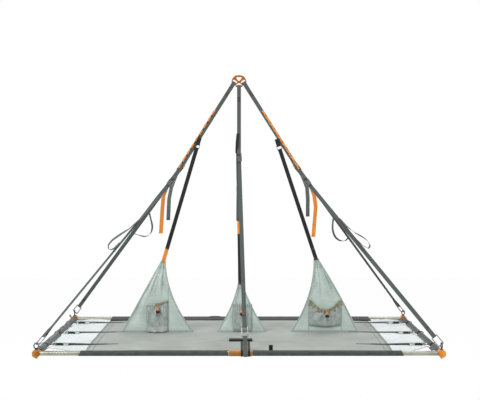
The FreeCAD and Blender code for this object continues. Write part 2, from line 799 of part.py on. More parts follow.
DIVIDERS = {
    "left": {"base": (-667.0, -257.0), "apex": xz(-428.6, -1041), "bow": (0.0, -38.0),
             "pocket": (-524.0, -399.0, -1258.0), "strap": Vector(-238, -10.5, -399)},
    "middle": {"base": (-126.0, 156.0), "apex": xz(7, -1168), "bow": (17.0, -12.0),
               "pocket": (-34.0, 74.0, -1280.0), "strap": Vector(-6, -3.4, -414)},
    "right": {"base": (293.0, 679.0), "apex": xz(436, -1027), "bow": (35.0, 8.0),
              "pocket": (396.0, 576.0, -1262.0), "strap": Vector(230, -10.5, -407)},
}
LOCKS = {"left": xz(-459, -1325), "middle": xz(15, -1338), "right": xz(497, -1349)}


def divider(name):
    spec = DIVIDERS[name]
    apex = spec["apex"]
    low, high = spec["base"]
    feet = [xz(low, DIVIDER_FOOT), xz(high, DIVIDER_FOOT)]
    tops = [apex - X * 11, apex + X * 11]
    edges = []
    for foot, top, bow in ((feet[0], tops[0], spec["bow"][0]), (feet[1], tops[1], spec["bow"][1])):
        if bow == 0.0:
            edges.append(Part.LineSegment(foot, top).toShape())
        else:
            edges.append(Part.Arc(foot, (foot + top) * 0.5 + X * bow, top).toShape())
    edges.append(Part.LineSegment(tops[0], tops[1]).toShape())
    edges.append(Part.LineSegment(feet[0], feet[1]).toShape())
    face = Part.Face(Part.Wire(Part.__sortEdges__(edges)))
    face.translate(Y * (-DIVIDER_THICK / 2))
    return face.extrude(Y * DIVIDER_THICK)


def pocket(name):
    low, high, top = DIVIDERS[name]["pocket"]
    back = -DIVIDER_THICK / 2 - 0.3
    foot = DIVIDER_FOOT + 3.0
    shell = box(Vector(low, back - POCKET_DEPTH, foot), Vector(high, back, top))
    w = POCKET_WALL
    inside = (Vector(low + w, back - POCKET_DEPTH + w, foot + w), Vector(high - w, back + 1, top + 1))
    return shell.cut(box(*inside))


def strap_line(name):
    """Top of a divider's strap, its direction down, its width direction, and its foot at the apex."""
    spec = DIVIDERS[name]
    top = spec["strap"]
    face = Y * (DIVIDER_THICK / 2 + WEB_THICK / 2 + 0.3)
    foot = spec["apex"] + unit(spec["apex"] - xz(top.x, top.z)) * APEX_LAP - face
    down = unit(foot - top)
    return top, down, level_with(X, down), foot


def divider_strap(name):
    top, down, across, foot = strap_line(name)
    if name == "middle":
        return [band([top, foot], across, WEB_WIDTH, WEB_THICK)]
    out = unit(down.cross(across))
    points = wrap(top + down * 2, -down, out, 3.9, 44.0, 2.4)
    hung = joined([band([foot, points[0]], across, WEB_WIDTH, WEB_THICK),
                   band(points, across, WEB_WIDTH, WEB_THICK)])
    head = wrap(top - down * 21, down, out, 3.9, 40.0, 2.4)
    return [hung, band(head, across, WEB_WIDTH, WEB_THICK)]


def divider_clip(name):
    """Flat metal loop in front of the trunk: a strap goes round each of its end bars."""
    top, down, across = strap_line(name)[:3]
    loop = [xz(-14, -2), xz(14, -2), xz(14, 25), xz(-14, 25)]
    hole = [xz(-11.5, 1.6), xz(11.5, 1.6), xz(11.5, 21.4), xz(-11.5, 21.4)]
    shape = plate(loop, [3.0] * 4, 3.4).cut(plate(hole, [1.0] * 4, 8))
    return placed(shape, axes(top + down * 2, across, -down))


def lock_centre(name):
    return LOCKS[name] - Y * (DIVIDER_THICK / 2 + POCKET_DEPTH + 9.0)


def cord_lock(name):
    """Barrel with the cord's hole down through it and the plunger's bore in from the right."""
    at = lock_centre(name)
    barrel = rod(at - X * 9, at + X * 8, 7.0)
    bore = rod(at - X * 6.9, at + X * 9, PLUNGER_R + 0.2)
    return barrel.cut(bore).cut(rod(at - Z * 9, at + Z * 9, CORD_R + 0.3))


def plunger(name):
    """Button whose cross slot pinches the cord until it is pressed in."""
    at = lock_centre(name)
    stem = rod(at - X * 4.1, at + X * 13, PLUNGER_R)
    return stem.cut(box(at + Vector(-2.1, -2.3, -6), at + Vector(4.3, 2.3, 6)))


def pocket_cord(name):
    """Elastic cord from the pocket's hem through the lock, ending in a knot below it."""
    at = lock_centre(name)
    cord = rod(at - Z * 22, at + Z * 42, CORD_R)
    return joined([cord, Part.makeSphere(4.0, at - Z * 24)])


def pocket_pull(name):
    """Folded tab sewn to the pocket that guides the cord above its lock."""
    at = lock_centre(name)
    tab = box(at + Vector(-5, -4.5, 9), at + Vector(5, 8.6, 21))
    return tab.cut(rod(at, at + Z * 40, CORD_R + 0.1))


# Loose webbing: buckle tails, slack loops on the legs and daisy chains on the trunks

TAILS = {
    "front_left": [xz(-424, -669), xz(-430, -748), xz(-438, -879)],
    "rear_left": [xz(-386, -622), xz(-399, -690), xz(-404, -810)],
    "front_middle": [xz(2, -520), xz(-3, -640), xz(-5, -808)],
    "rear_middle": [xz(0, -700), xz(2, -760), xz(0, -850)],
    "front_right": [xz(421, -664), xz(430, -730), xz(417, -899)],
    "rear_right": [xz(388, -622), xz(393, -690), xz(392, -789)],
}

# Daisy chain, down the trunk from its ring bar: half a pocket per step
CHAIN_START = 160.0
CHAIN_PITCH = 22.0
CHAIN_STEPS = 16

# Slack loops: distance along the leg from its buckle, level, and height above the leg's line
LOOPS = {
    "front_left": [(240, 5), (300, 20), (365, 50), (413, 70), (440, 70), (434, 38), (402, 12), (362, 5)],
    "rear_left": [(263, -15), (252, -60), (236, -122), (252, -150), (296, -123), (346, -64), (388, -15)],
    "front_right": [(240, 16), (293, 22), (345, 41), (391, 66), (422, 79), (441, 70), (431, 43), (396, 23),
                    (358, 16)],
    "rear_right": [(303, -5), (295, -50), (297, -88), (318, -106), (362, -85), (404, -42), (424, -5)],
}


def tail(name):
    leg = LEGS[name]
    start = leg["buckle"] + leg["down"] * (PLATE_END + 18) + leg["out"] * STUB_RISE
    points = [start] + [p + Y * start.y for p in TAILS[name]]
    return band(points, Y, 1.6, WEB_WIDTH)


def slack_loop(name):
    leg = LEGS[name]
    down = leg["down"]
    level = unit(Vector(down.x, down.y, 0))
    fall = down.z / down.dot(level)
    points = [leg["buckle"] + level * h + Z * (fall * h + rise) for h, rise in LOOPS[name]]
    return band(points, unit(level.cross(Z)), 12.0, 1.6)


def daisy_chain(side):
    bar, down, across = trunk_line(side)
    outer = across * side
    points = []
    for i in range(CHAIN_STEPS):
        bulge = 12.5 if i % 2 == 0 else 15.5
        points.append(bar + down * (CHAIN_START + CHAIN_PITCH * i) + outer * bulge - Y * 4.2)
    return band(points, Y, 1.6, 9.0)


def node_shapes():
    names = list(LEGS)
    sides = [("left", -1), ("right", 1)]
    nodes = {"master_ring": master_ring()}
    for name, side in (("left", -1), ("middle", 0), ("right", 1)):
        nodes["trunk_strap_" + name] = trunk_strap(side)
    nodes["daisy_chains"] = [daisy_chain(side) for _, side in sides]
    for name in names:
        nodes["leg_" + name] = leg_strap(LEGS[name])
        nodes["cam_" + name] = cam(LEGS[name])
        nodes["gate_" + name] = gate(LEGS[name])
    nodes["cam_buckle_frames"] = [cam_frame(LEGS[name]) for name in names]
    nodes["cam_buckle_pins"] = [cam_pin(LEGS[name]) for name in names]
    nodes["carabiner_bodies"] = [carabiner(LEGS[name]) for name in names]
    nodes["gate_pins"] = [gate_pin(LEGS[name]) for name in names]
    corners = [name for name in names if LEGS[name]["side"]]
    for name in corners:
        nodes["corner_" + name] = corner_block(LEGS[name]["side"], LEGS[name]["row"])
    nodes["corner_eye_bolts"] = [eye_bolt(LEGS[name]) for name in corners]
    nodes["corner_eye_bolts"] += [corner_nut(LEGS[name]["side"], LEGS[name]["row"]) for name in corners]
    nodes["beam_tubes"] = beam_tubes()
    nodes["end_tubes"] = end_tubes()
    nodes["front_coupler"] = coupler(-1)
    nodes["rear_coupler"] = coupler(1)
    nodes["beam_spigots"] = beam_spigots()
    nodes["beam_slings"] = [sling(LEGS["front_middle"]), sling(LEGS["rear_middle"])]
    nodes["bed_panel"] = bed_panel()
    nodes["end_panels"] = [end_panel(side) for _, side in sides]
    nodes["front_hem"] = front_hem()
    nodes["rear_hem"] = rear_hem()
    nodes["end_sleeves"] = [end_sleeve(side) for _, side in sides]
    nodes["tension_straps"] = [s for _, side in sides for y in TENSION_Y for s in tension_strap(side, y)]
    nodes["ladder_locks"] = [ladder_lock(side, y) for _, side in sides for y in TENSION_Y]
    nodes["bed_patches"] = bed_patches()
    for name in DIVIDERS:
        nodes["divider_" + name] = divider(name)
        nodes["lock_plunger_" + name] = plunger(name)
    nodes["divider_pockets"] = [pocket(name) for name in DIVIDERS]
    nodes["divider_straps"] = [piece for name in DIVIDERS for piece in divider_strap(name)]
    nodes["divider_clips"] = [divider_clip(name) for name in ("left", "right")]
    nodes["cord_locks"] = [cord_lock(name) for name in DIVIDERS]
    nodes["pocket_cords"] = [pocket_cord(name) for name in DIVIDERS]
    nodes["pocket_pulls"] = [pocket_pull(name) for name in DIVIDERS]
    nodes["strap_tails"] = [tail(name) for name in TAILS]
    nodes["slack_loops"] = [slack_loop(name) for name in LOOPS]
    return nodes


os.makedirs("parts", exist_ok=True)
for node, made in node_shapes().items():
    shape = Part.makeCompound(made) if isinstance(made, list) else made
    shape.exportStep("parts/" + node + ".step")
    print(node, len(shape.Solids), "solids", round(shape.Volume), "mm3", shape.isValid())
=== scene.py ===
import math

import bpy
from mathutils import Matrix, Vector, noise


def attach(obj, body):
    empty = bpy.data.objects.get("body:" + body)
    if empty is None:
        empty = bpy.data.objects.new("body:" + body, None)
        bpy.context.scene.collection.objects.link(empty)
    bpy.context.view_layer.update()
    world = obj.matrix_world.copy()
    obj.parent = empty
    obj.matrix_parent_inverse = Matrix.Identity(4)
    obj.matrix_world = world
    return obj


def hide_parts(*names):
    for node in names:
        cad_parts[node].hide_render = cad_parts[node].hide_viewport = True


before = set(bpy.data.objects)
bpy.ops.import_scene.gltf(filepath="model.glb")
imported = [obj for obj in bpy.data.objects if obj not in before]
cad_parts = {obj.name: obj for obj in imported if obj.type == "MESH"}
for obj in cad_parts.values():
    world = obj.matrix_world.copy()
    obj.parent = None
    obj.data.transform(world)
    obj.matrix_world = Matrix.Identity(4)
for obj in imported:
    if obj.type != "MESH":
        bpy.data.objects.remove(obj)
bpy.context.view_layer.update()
scene = bpy.context.scene


# Camera
# A medium telephoto on a tripod, just above the bed's height, square to its long side.

camera = bpy.data.objects.new("camera", bpy.data.cameras.new("camera"))
camera.data.lens = 75.6
camera.data.sensor_width = 36.0
camera.location = (0.0, -5.7, -0.529)
camera.rotation_euler = (math.radians(90 - 1.648), 0.0, math.radians(-0.057))
scene.collection.objects.link(camera)
scene.camera = camera


# Pocket cords
# Elastic shock cord about 4 mm thick: rubber strands in a braided polyester cover. Each comes out
# of its pocket's top hem, goes down through a cord lock and ends in a knot below it.

LEDGE = "ledge"
LOCKS = {"left": (-459.0, -28.5, -1325.0), "middle": (15.0, -28.5, -1338.0),
         "right": (497.0, -28.5, -1349.0)}
CORD_R = 0.002
KNOT_STEPS, KNOT_TURNS = 14, 1.6


def mm(*numbers):
    """A point given in millimetres."""
    return Vector(numbers) / 1000


def linear(code):
    """Linear colour of an sRGB hex code."""
    parts = [int(code[i:i + 2], 16) / 255 for i in (0, 2, 4)]
    return tuple(c / 12.92 if c <= 0.04045 else ((c + 0.055) / 1.055) ** 2.4 for c in parts) + (1.0,)


def add(tree, kind, sockets=None, **settings):
    """Add one shader node, set its fields, and give its sockets values or links."""
    made = tree.nodes.new("ShaderNode" + kind)
    for field, value in settings.items():
        setattr(made, field, value)
    for socket, value in (sockets or {}).items():
        if isinstance(value, bpy.types.Node):
            tree.links.new(value.outputs[0], made.inputs[socket])
        elif isinstance(value, bpy.types.NodeSocket):
            tree.links.new(value, made.inputs[socket])
        else:
            made.inputs[socket].default_value = value
    return made


def new_material(name):
    made = bpy.data.materials.new(name)
    made.use_nodes = True
    made.node_tree.nodes.clear()
    return made, made.node_tree


def ramp(tree, factor, *stops):
    """Fill a colour ramp's stops, given as (place, hex code)."""
    made = add(tree, "ValToRGB", {0: factor})
    while len(made.color_ramp.elements) < len(stops):
        made.color_ramp.elements.new(0.5)
    for element, (place, code) in zip(made.color_ramp.elements, stops):
        element.position = place
        element.color = linear(code)
    return made


def braided_cord(name, cover, dip_shade):
    """Braided polyester cover: the strands cross at 3 mm, and the small dips between them are painted dark
    as shade.
    """
    made, tree = new_material(name)
    place = add(tree, "TexCoord").outputs["Object"]
    strands = [add(tree, "TexWave", {"Vector": place, "Scale": 100.0, "Distortion": 0.4},
                   bands_direction="DIAGONAL", rings_direction="X"),
               add(tree, "TexWave", {"Vector": place, "Scale": 105.0, "Distortion": 0.4},
                   bands_direction="Z")]
    braid = add(tree, "Math", {0: strands[0].outputs["Fac"], 1: strands[1].outputs["Fac"]},
                operation="MULTIPLY")
    shade = ramp(tree, braid, (0.0, dip_shade), (0.45, cover))
    bump = add(tree, "Bump", {"Height": braid, "Strength": 0.5, "Distance": 0.0006})
    shader = add(tree, "BsdfPrincipled",
                 {"Base Color": shade, "Roughness": 0.7, "Sheen Weight": 0.25, "Normal": bump})
    add(tree, "OutputMaterial", {"Surface": shader})
    return made


def link(obj, cloth=None, body=LEDGE):
    """Put a new piece in the scene, give it its material, and let it ride on a body."""
    scene.collection.objects.link(obj)
    if cloth is not None:
        obj.data.materials.append(cloth)
    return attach(obj, body)


shock_cord = braided_cord("braided shock cord", "9AA098", "4A4E4B")

for side, (x, y, z) in LOCKS.items():
    route = [mm(x, y, z + 42), mm(x, y, z + 21), mm(x, y, z), mm(x, y, z - 12), mm(x, y, z - 22)]
    curve = bpy.data.curves.new("pocket_cord_" + side, "CURVE")
    curve.dimensions = "3D"
    spline = curve.splines.new("NURBS")
    spline.points.add(len(route) - 1)
    for spot, point in zip(spline.points, route):
        spot.co = (*point, 1.0)
    spline.order_u = 3
    spline.use_endpoint_u = True
    curve.bevel_depth = CORD_R
    curve.bevel_resolution = 3
    curve.use_fill_caps = True
    cord = link(bpy.data.objects.new("pocket_cord_" + side, curve), shock_cord)
    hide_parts("pocket_cords")

    # An overhand knot: one turn of the cord round itself
    knot_curve = bpy.data.curves.new("cord_knot_" + side, "CURVE")
    knot_curve.dimensions = "3D"
    knot_spline = knot_curve.splines.new("NURBS")
    knot_spline.points.add(KNOT_STEPS - 1)
    for i, spot in enumerate(knot_spline.points):
        turn = 2 * math.pi * KNOT_TURNS * i / (KNOT_STEPS - 1)
        drop = 21 + 5.5 * i / (KNOT_STEPS - 1)
        reach = 2.0 * math.sin(math.pi * min(1.0, (i + 1.5) / KNOT_STEPS))
        spot.co = (*mm(x + reach * math.cos(turn), y + reach * math.sin(turn), z - drop), 1.0)
    knot_spline.order_u = 3
    knot_spline.use_endpoint_u = True
    knot_curve.bevel_depth = 0.0019
    knot_curve.bevel_resolution = 3
    knot_curve.use_fill_caps = True
    knot = link(bpy.data.objects.new("cord_knot_" + side, knot_curve), shock_cord)


# Master ring
# Forged aluminium alloy, about 8 mm thick, tumbled smooth and anodised orange. Straps and
# carabiners wear the colour thin on its inner edges.

def anodised(name, colour, deep, rough=0.34):
    """Anodised aluminium: a dyed clear layer over metal, so the colour is even and the gloss soft."""
    made, tree = new_material(name)
    place = add(tree, "TexCoord").outputs["Object"]
    cloud = add(tree, "TexNoise", {"Vector": place, "Scale": 38.0, "Detail": 3.0})
    grit = add(tree, "TexNoise", {"Vector": place, "Scale": 900.0, "Detail": 2.0})
    shade = ramp(tree, cloud, (0.30, deep), (0.62, colour))
    edge = add(tree, "NewGeometry").outputs["Pointiness"]
    worn = ramp(tree, edge, (0.50, "000000"), (0.60, "FFFFFF"))
    bare = add(tree, "Mix", {0: worn, 6: shade, 7: linear("DCA468")}, data_type="RGBA")
    faded = add(tree, "Mix", {0: 0.45, 6: shade, 7: bare.outputs[2]}, data_type="RGBA")
    bump = add(tree, "Bump", {"Height": grit, "Strength": 0.12, "Distance": 0.0003})
    shader = add(tree, "BsdfPrincipled",
                 {"Base Color": faded.outputs[2], "Metallic": 1.0, "Roughness": rough,
                  "Normal": bump})
    add(tree, "OutputMaterial", {"Surface": shader})
    return made


def dress(node, finish):
    """Give a CAD part its material."""
    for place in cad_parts[node].material_slots:
        place.material = finish


dress("master_ring", anodised("anodised forged aluminium", "B4671F", "915014"))


# Trunk straps
# Polyester webbing, 22 mm wide, woven in ribs about 1 mm apart. Each strap goes round its own bar
# of the ring, is sewn to itself below it with orange thread, and divides lower down into a
# front and a rear strand that end in the cam buckles.

TRUNKS = {
    "left": [(-356.0, -11.8, -552.1), (-363.1, -26.4, -563.3), (-369.8, -33.1, -573.8),
             (-372.1, -24.8, -577.6),
             (-365.5, -18.1, -567.1), (-349.3, -1.6, -541.4), (-62.1, -1.6, -86.4), (-39.7, -8.6, -50.9),
             (-25.2, -8.6, -27.9), (-25.2, 8.6, -27.9), (-39.7, 8.6, -50.9), (-62.1, 1.6, -86.4),
             (-299.6, 1.6, -462.7), (-316.1, 17.1, -488.9), (-322.9, 23.4, -499.5), (-320.7, 31.8, -496.0),
             (-313.9, 25.5, -485.3), (-306.6, 11.4, -473.7)],
    "middle": [(0.0, -12.0, -410.5), (0.0, -26.9, -423.5), (0.0, -33.8, -435.8), (0.0, -25.6, -440.4),
               (0.0, -18.7, -428.1), (0.0, -1.6, -398.0), (0.0, -1.6, -114.0), (0.0, -8.6, -72.0),
               (0.0, -8.6, -44.8), (0.0, 8.6, -44.8), (0.0, 8.6, -72.0), (0.0, 1.6, -114.0),
               (0.0, 1.6, -588.0), (0.0, 21.3, -616.4), (0.0, 29.2, -628.1), (0.0, 37.0, -622.8),
               (0.0, 29.0, -611.1), (0.0, 13.1, -599.5)],
}
TRUNKS["right"] = [(-x, y, z) for x, y, z in TRUNKS["left"]]
TRUNK_WIDE = {"left": Vector((0.8456, 0, -0.5338)), "middle": Vector((1, 0, 0)),
              "right": Vector((0.8456, 0, 0.5338))}
WEB_WIDTH = 0.022


def woven_webbing(name, yarn, shade, rib=0.0022):
    """Ribbed polyester webbing. The ribs are drawn twice their real pitch of about 1 mm."""
    made, tree = new_material(name)
    place = add(tree, "UVMap", uv_map="cut").outputs["UV"]
    ribs = add(tree, "TexWave", {"Vector": place, "Scale": 0.314 / rib, "Distortion": 0.3},
               bands_direction="X")
    picks = add(tree, "TexWave", {"Vector": place, "Scale": 0.314 / (rib * 1.2), "Distortion": 0.3},
                bands_direction="DIAGONAL")
    weave = add(tree, "Math", {0: ribs.outputs["Fac"], 1: picks.outputs["Fac"]}, operation="MULTIPLY")
    stretched = add(tree, "Mapping", {"Vector": place, "Scale": (1.0, 0.12, 1.0)})
    streak = add(tree, "TexNoise", {"Vector": stretched, "Scale": 260.0, "Detail": 3.0})
    tone = add(tree, "Math", {0: weave, 1: streak.outputs["Fac"], 2: 0.1}, operation="MULTIPLY_ADD")
    woven = ramp(tree, tone, (0.08, shade), (0.52, yarn))
    bump = add(tree, "Bump", {"Height": weave, "Strength": 0.45, "Distance": 0.0006})
    shader = add(tree, "BsdfPrincipled",
                 {"Base Color": woven, "Roughness": 0.85, "Specular IOR Level": 0.25, "Sheen Weight": 0.08,
                  "Sheen Roughness": 0.5, "Normal": bump})
    add(tree, "OutputMaterial", {"Surface": shader})
    return made


def sewing_thread(name, colour, shade):
    """Bonded polyester thread, twisted from three plies, with a slight wax gloss."""
    made, tree = new_material(name)
    place = add(tree, "TexCoord").outputs["Object"]
    twist = add(tree, "TexWave", {"Vector": place, "Scale": 210.0, "Distortion": 1.0},
                bands_direction="DIAGONAL")
    plies = ramp(tree, twist, (0.0, shade), (0.5, colour))
    bump = add(tree, "Bump", {"Height": twist, "Strength": 0.4, "Distance": 0.0003})
    shader = add(tree, "BsdfPrincipled",
                 {"Base Color": plies, "Roughness": 0.5, "Sheen Weight": 0.1, "Normal": bump})
    add(tree, "OutputMaterial", {"Surface": shader})
    return made


def eased(corners, radius, step=0.006):
    """Points along a route whose corners are rounded to a radius where its runs have room."""
    made = [Vector(corners[0])]
    for i in range(1, len(corners)):
        start, end = made[-1], Vector(corners[i])
        if i < len(corners) - 1:
            before, after = end - Vector(corners[i - 1]), Vector(corners[i + 1]) - end
            half = before.angle(after) / 2
            reach = min(0.45 * min(before.length, after.length),
                        radius * math.tan(half)) if half > 0.004 else 0
            leave, join = end - before.normalized() * reach, end + after.normalized() * reach
        else:
            leave, join = end, None
        count = max(1, round((leave - start).length / step))
        made += [start.lerp(leave, k / count) for k in range(1, count + 1)]
        if join is not None and reach > 1e-5:
            count = max(3, round(2 * half / 0.22))
            for k in range(1, count + 1):
                t = k / count
                made.append(leave * (1 - t) ** 2 + end * (2 * t * (1 - t)) + join * t ** 2)
    return made


def mesh_piece(name, points, faces, cloth, cut=None, body=LEDGE, crease=0.8):
    """A mesh with its flat cut as its UV map, in metres."""
    mesh = bpy.data.meshes.new(name)
    mesh.from_pydata([tuple(p) for p in points], [], faces)
    if cut is not None:
        layer = mesh.uv_layers.new(name="cut")
        for loop in mesh.loops:
            layer.data[loop.index].uv = cut[loop.vertex_index]
    mesh.polygons.foreach_set("use_smooth", [True] * len(mesh.polygons))
    mesh.set_sharp_from_angle(angle=crease)
    return link(bpy.data.objects.new(name, mesh), cloth, body)


def strap(name, line, wide, cloth, width=WEB_WIDTH, thick=0.002, ripple=0.0, columns=6, bands=()):
    """A strap along a line. wide is its width direction, or gives one for each point.
    bands are stretches (from, to, material) of another colour. Returns it with its stations."""
    points, faces, cut, stations, along = [], [], [], [], 0.0
    for i, centre in enumerate(line):
        run = (line[min(i + 1, len(line) - 1)] - line[max(i - 1, 0)]).normalized()
        across = (wide(centre) if callable(wide) else wide)
        across = (across - run * across.dot(run)).normalized()
        up = run.cross(across)
        if i:
            along += (centre - line[i - 1]).length
        stations.append((along, centre, run, across, up))
        for face in (1, -1):
            for k in range(columns + 1):
                u = (k / columns - 0.5) * face
                swell = thick / 2 * (1 - 0.5 * abs(2 * u) ** 6)
                lift = ripple * noise.noise(Vector((along * 9, u * 1.4, len(name) * 1.7)))
                points.append(centre + across * (u * width) + up * (swell * face + lift))
                cut.append((u * width, along))
    ring = 2 * (columns + 1)
    for i in range(len(line) - 1):
        for k in range(ring):
            a, b = i * ring + k, i * ring + (k + 1) % ring
            faces.append((a, b, b + ring, a + ring))
    last = (len(line) - 1) * ring
    for k in range(columns):
        faces.append((k + 1, k, ring - 1 - k, ring - 2 - k))
        faces.append((last + k, last + k + 1, last + ring - 2 - k, last + ring - 1 - k))
    made = mesh_piece(name, points, faces, cloth, cut)
    for start, end, other in bands:
        made.data.materials.append(other)
        index = len(made.data.materials) - 1
        for face in made.data.polygons:
            at = sum(cut[v][1] for v in face.vertices) / len(face.vertices)
            if start <= at < end:
                face.material_index = index
    return made, stations


def station(stations, at):
    """The strap's place, run, width direction and face direction at a distance along it."""
    for before, after in zip(stations, stations[1:]):
        if after[0] >= at:
            share = (at - before[0]) / max(after[0] - before[0], 1e-9)
            return [a.lerp(b, share) for a, b in zip(before[1:], after[1:])]
    return list(stations[-1][1:])


def bartack(stations, start, length, thick=0.002, width=0.0185, pitch=0.0036, faces=(1, -1)):
    """Zigzag rows of thread sewn through a strap, seen on its faces."""
    rows = []
    for face in faces:
        row = []
        for i in range(max(2, round(2 * length / pitch))):
            centre, _, across, up = station(stations, start + i * pitch / 2)
            side = width / 2 * (1 if i % 2 else -1)
            row.append(centre + across * side + up * (face * (thick / 2 + 0.0002)))
        rows.append(row)
    return rows


def threads(name, rows, thread, radius=0.0006, body=LEDGE):
    """Sewn thread: every row of points becomes a thin five-sided cord."""
    points, faces, sides = [], [], 5
    for row in rows:
        first = len(points)
        for i, centre in enumerate(row):
            run = (row[min(i + 1, len(row) - 1)] - row[max(i - 1, 0)]).normalized()
            across = run.orthogonal().normalized()
            up = run.cross(across)
            for k in range(sides):
                turn = 2 * math.pi * k / sides
                points.append(centre + (across * math.cos(turn) + up * math.sin(turn)) * radius)
        for i in range(len(row) - 1):
            for k in range(sides):
                a, b = first + i * sides + k, first + i * sides + (k + 1) % sides
                faces.append((a, b, b + sides, a + sides))
        faces.append(tuple(first + k for k in reversed(range(sides))))
        faces.append(tuple(first + (len(row) - 1) * sides + k for k in range(sides)))
    return mesh_piece(name, points, faces, thread, body=body)


grey_webbing = woven_webbing("grey polyester webbing", "646C6A", "424947")
black_webbing = woven_webbing("black polyester webbing", "343736", "161817")
orange_webbing = woven_webbing("orange polyester webbing", "FFA64E", "D07C2C")
light_webbing = woven_webbing("pale grey polyester webbing", "737B79", "4E5553")
orange_thread = sewing_thread("orange bonded thread", "C98038", "8A5522")
khaki_thread = sewing_thread("khaki bonded thread", "A8875A", "6E5434")
black_thread = sewing_thread("black bonded thread", "2A2A2A", "101010")

trunk_sewing, trunk_stations = [], {}
for side, route in TRUNKS.items():
    line = eased([mm(*p) for p in route], 0.045)
    piece, stations = strap("trunk_webbing_" + side, line, TRUNK_WIDE[side], grey_webbing, thick=0.0024,
                            ripple=0.0003)
    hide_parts("trunk_strap_" + side)
    trunk_stations[side] = stations
    top = max(stations, key=lambda s: s[1].z)[0]
    for start in (top - 0.104, top + 0.066):
        trunk_sewing += bartack(stations, start, 0.038, 0.0024, pitch=0.003)
    end = stations[-1][0]
    trunk_sewing += bartack(stations, 0.006, 0.012, 0.0024) + bartack(stations, end - 0.018, 0.012, 0.0024)
threads("trunk_bartacks", trunk_sewing, orange_thread, 0.0008)


# Daisy chains
# Orange tape, 9 mm wide, sewn flat along the outer edge of each side trunk and left loose between
# the seams, so that it stands out as a row of small loops for hanging gear.

CHAIN_START, CHAIN_PITCH, CHAIN_LOOPS, CHAIN_STEPS = 0.185, 0.044, 9, 12
# Share of each loop's pitch that stands off the trunk
LOOSE_SHARE = 0.72
chain_sewing = []
for side, sign in (("left", -1), ("right", 1)):
    bar, fork = mm(sign * 29, 0, -34), mm(sign * 356, 0, -552)
    down = (fork - bar).normalized()
    outer = down.cross(Vector((0, 1, 0))) * sign
    line = []
    for loop in range(CHAIN_LOOPS):
        for k in range(CHAIN_STEPS):
            share = k / CHAIN_STEPS
            stand = max(0.0, math.sin(math.pi * min(1.0, share / LOOSE_SHARE)))
            bulge = (0.0078 if side == "left" else 0.0030) + 0.0028 * stand
            rise = 0.0032 + 0.0030 * stand
            line.append(bar + down * (CHAIN_START + CHAIN_PITCH * (loop + share)) + outer * bulge
                        + Vector((0, -rise, 0)))
    gaps = []
    for loop in range(CHAIN_LOOPS):
        at = CHAIN_PITCH * loop * 1.03
        if side == "left":
            gaps.append((at + 0.0315, at + 0.0475, grey_webbing))
    piece, stations = strap("daisy_chain_" + side, line, outer, orange_webbing, 0.009, 0.0013, columns=3,
                            bands=gaps)
    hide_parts("daisy_chains")
    for loop in range(CHAIN_LOOPS):
        chain_sewing += bartack(stations, CHAIN_PITCH * (loop * 1.03 + 0.78), 0.007, 0.0013, 0.0085, 0.0026)
threads("chain_bartacks", chain_sewing, black_thread, 0.0005)


# Leg straps
# The same webbing. The upper end is threaded through the cam buckle; the lower one is folded round a
# carabiner and sewn above it, in orange on the front legs and black on the others. Two have a turn.

LEGS = {
    "front_left": ((-368.7, -26.7, -572.2), (-995.7, -569.8, -1372.4), (0.8002, -0.0423, -0.5982),
                   (0.6548, -0.7558, 0.0), (0.2526, -0.8810, 0.4001)),
    "rear_left": ((-319.5, 25.5, -494.2), (-996.8, 572.8, -1373.1), (0.8026, 0.0371, -0.5953),
                  (0.8026, 0.0371, -0.5953), (0.2370, 0.8961, 0.3754)),
    "front_middle": ((0.0, -27.4, -434.0), (29.1, -529.1, -1329.7), (0.9996, 0.0138, 0.0247),
                     (0.9996, 0.0138, 0.0247), (0.0, -0.8725, 0.4887)),
    "rear_middle": ((0.0, 30.5, -621.5), (6.9, 518.2, -1336.5), (1.0, -0.0045, 0.0066),
                    (1.0, -0.0045, 0.0066), (0.0, 0.8261, 0.5636)),
    "front_right": ((368.7, -26.7, -572.2), (997.0, -571.0, -1374.1), (0.8002, 0.0423, 0.5982),
                    (0.8002, 0.0423, 0.5982), (-0.2526, -0.8810, 0.4001)),
    "rear_right": ((319.5, 25.5, -494.2), (995.4, 571.7, -1371.4), (0.8026, -0.0371, 0.5953),
                   (0.6285, -0.7778, 0.0), (-0.2370, 0.8961, 0.3754)),
}
STUB = -4.5
LOOP = 4.6
TWIST_RUN = 0.26
leg_sewing, dark_sewing = [], []
for leg, (top, foot, wide, low, out) in LEGS.items():
    top, foot, wide, low, out = mm(*top), mm(*foot), Vector(wide), Vector(low), Vector(out)
    down = (foot - top).normalized()
    low_out = down.cross(low).normalized()
    head = [top + down * (a / 1000) + out * (b / 1000)
            for a, b in ((60, STUB), (8.1, STUB), (8.1, 0), (66, 0))]
    end = [foot + down * (a / 1000) + low_out * (b / 1000)
           for a, b in ((-58, 0), (-2 * LOOP, -LOOP), (LOOP, -LOOP), (LOOP, LOOP), (-2 * LOOP, LOOP),
                        (-54, 2.4))]

    def turn(point, top=top, down=down, wide=wide, low=low):
        share = min(1.0, max(0.0, ((point - top).dot(down) - 0.066) / TWIST_RUN))
        return wide.lerp(low, share * share * (3 - 2 * share))

    line = eased(head + end, 0.03)
    piece, stations = strap("leg_webbing_" + leg, line, turn, grey_webbing, ripple=0.0004)
    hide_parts("leg_" + leg)
    total = stations[-1][0]
    if leg.startswith("front"):
        leg_sewing += bartack(stations, total - 0.140, 0.034, pitch=0.003)
    else:
        dark_sewing += bartack(stations, total - 0.140, 0.034)
threads("leg_bartacks", leg_sewing, orange_thread, 0.0009)
threads("leg_dark_bartacks", dark_sewing, black_thread, 0.0007)


# Cam buckles and gate pins
# Folded steel frames with a riveted pin, zinc plated: a dull grey with a faint crystal bloom. The
# cam's lever is steel too, pressed and barrel-finished. The dividers' clips are plated black.

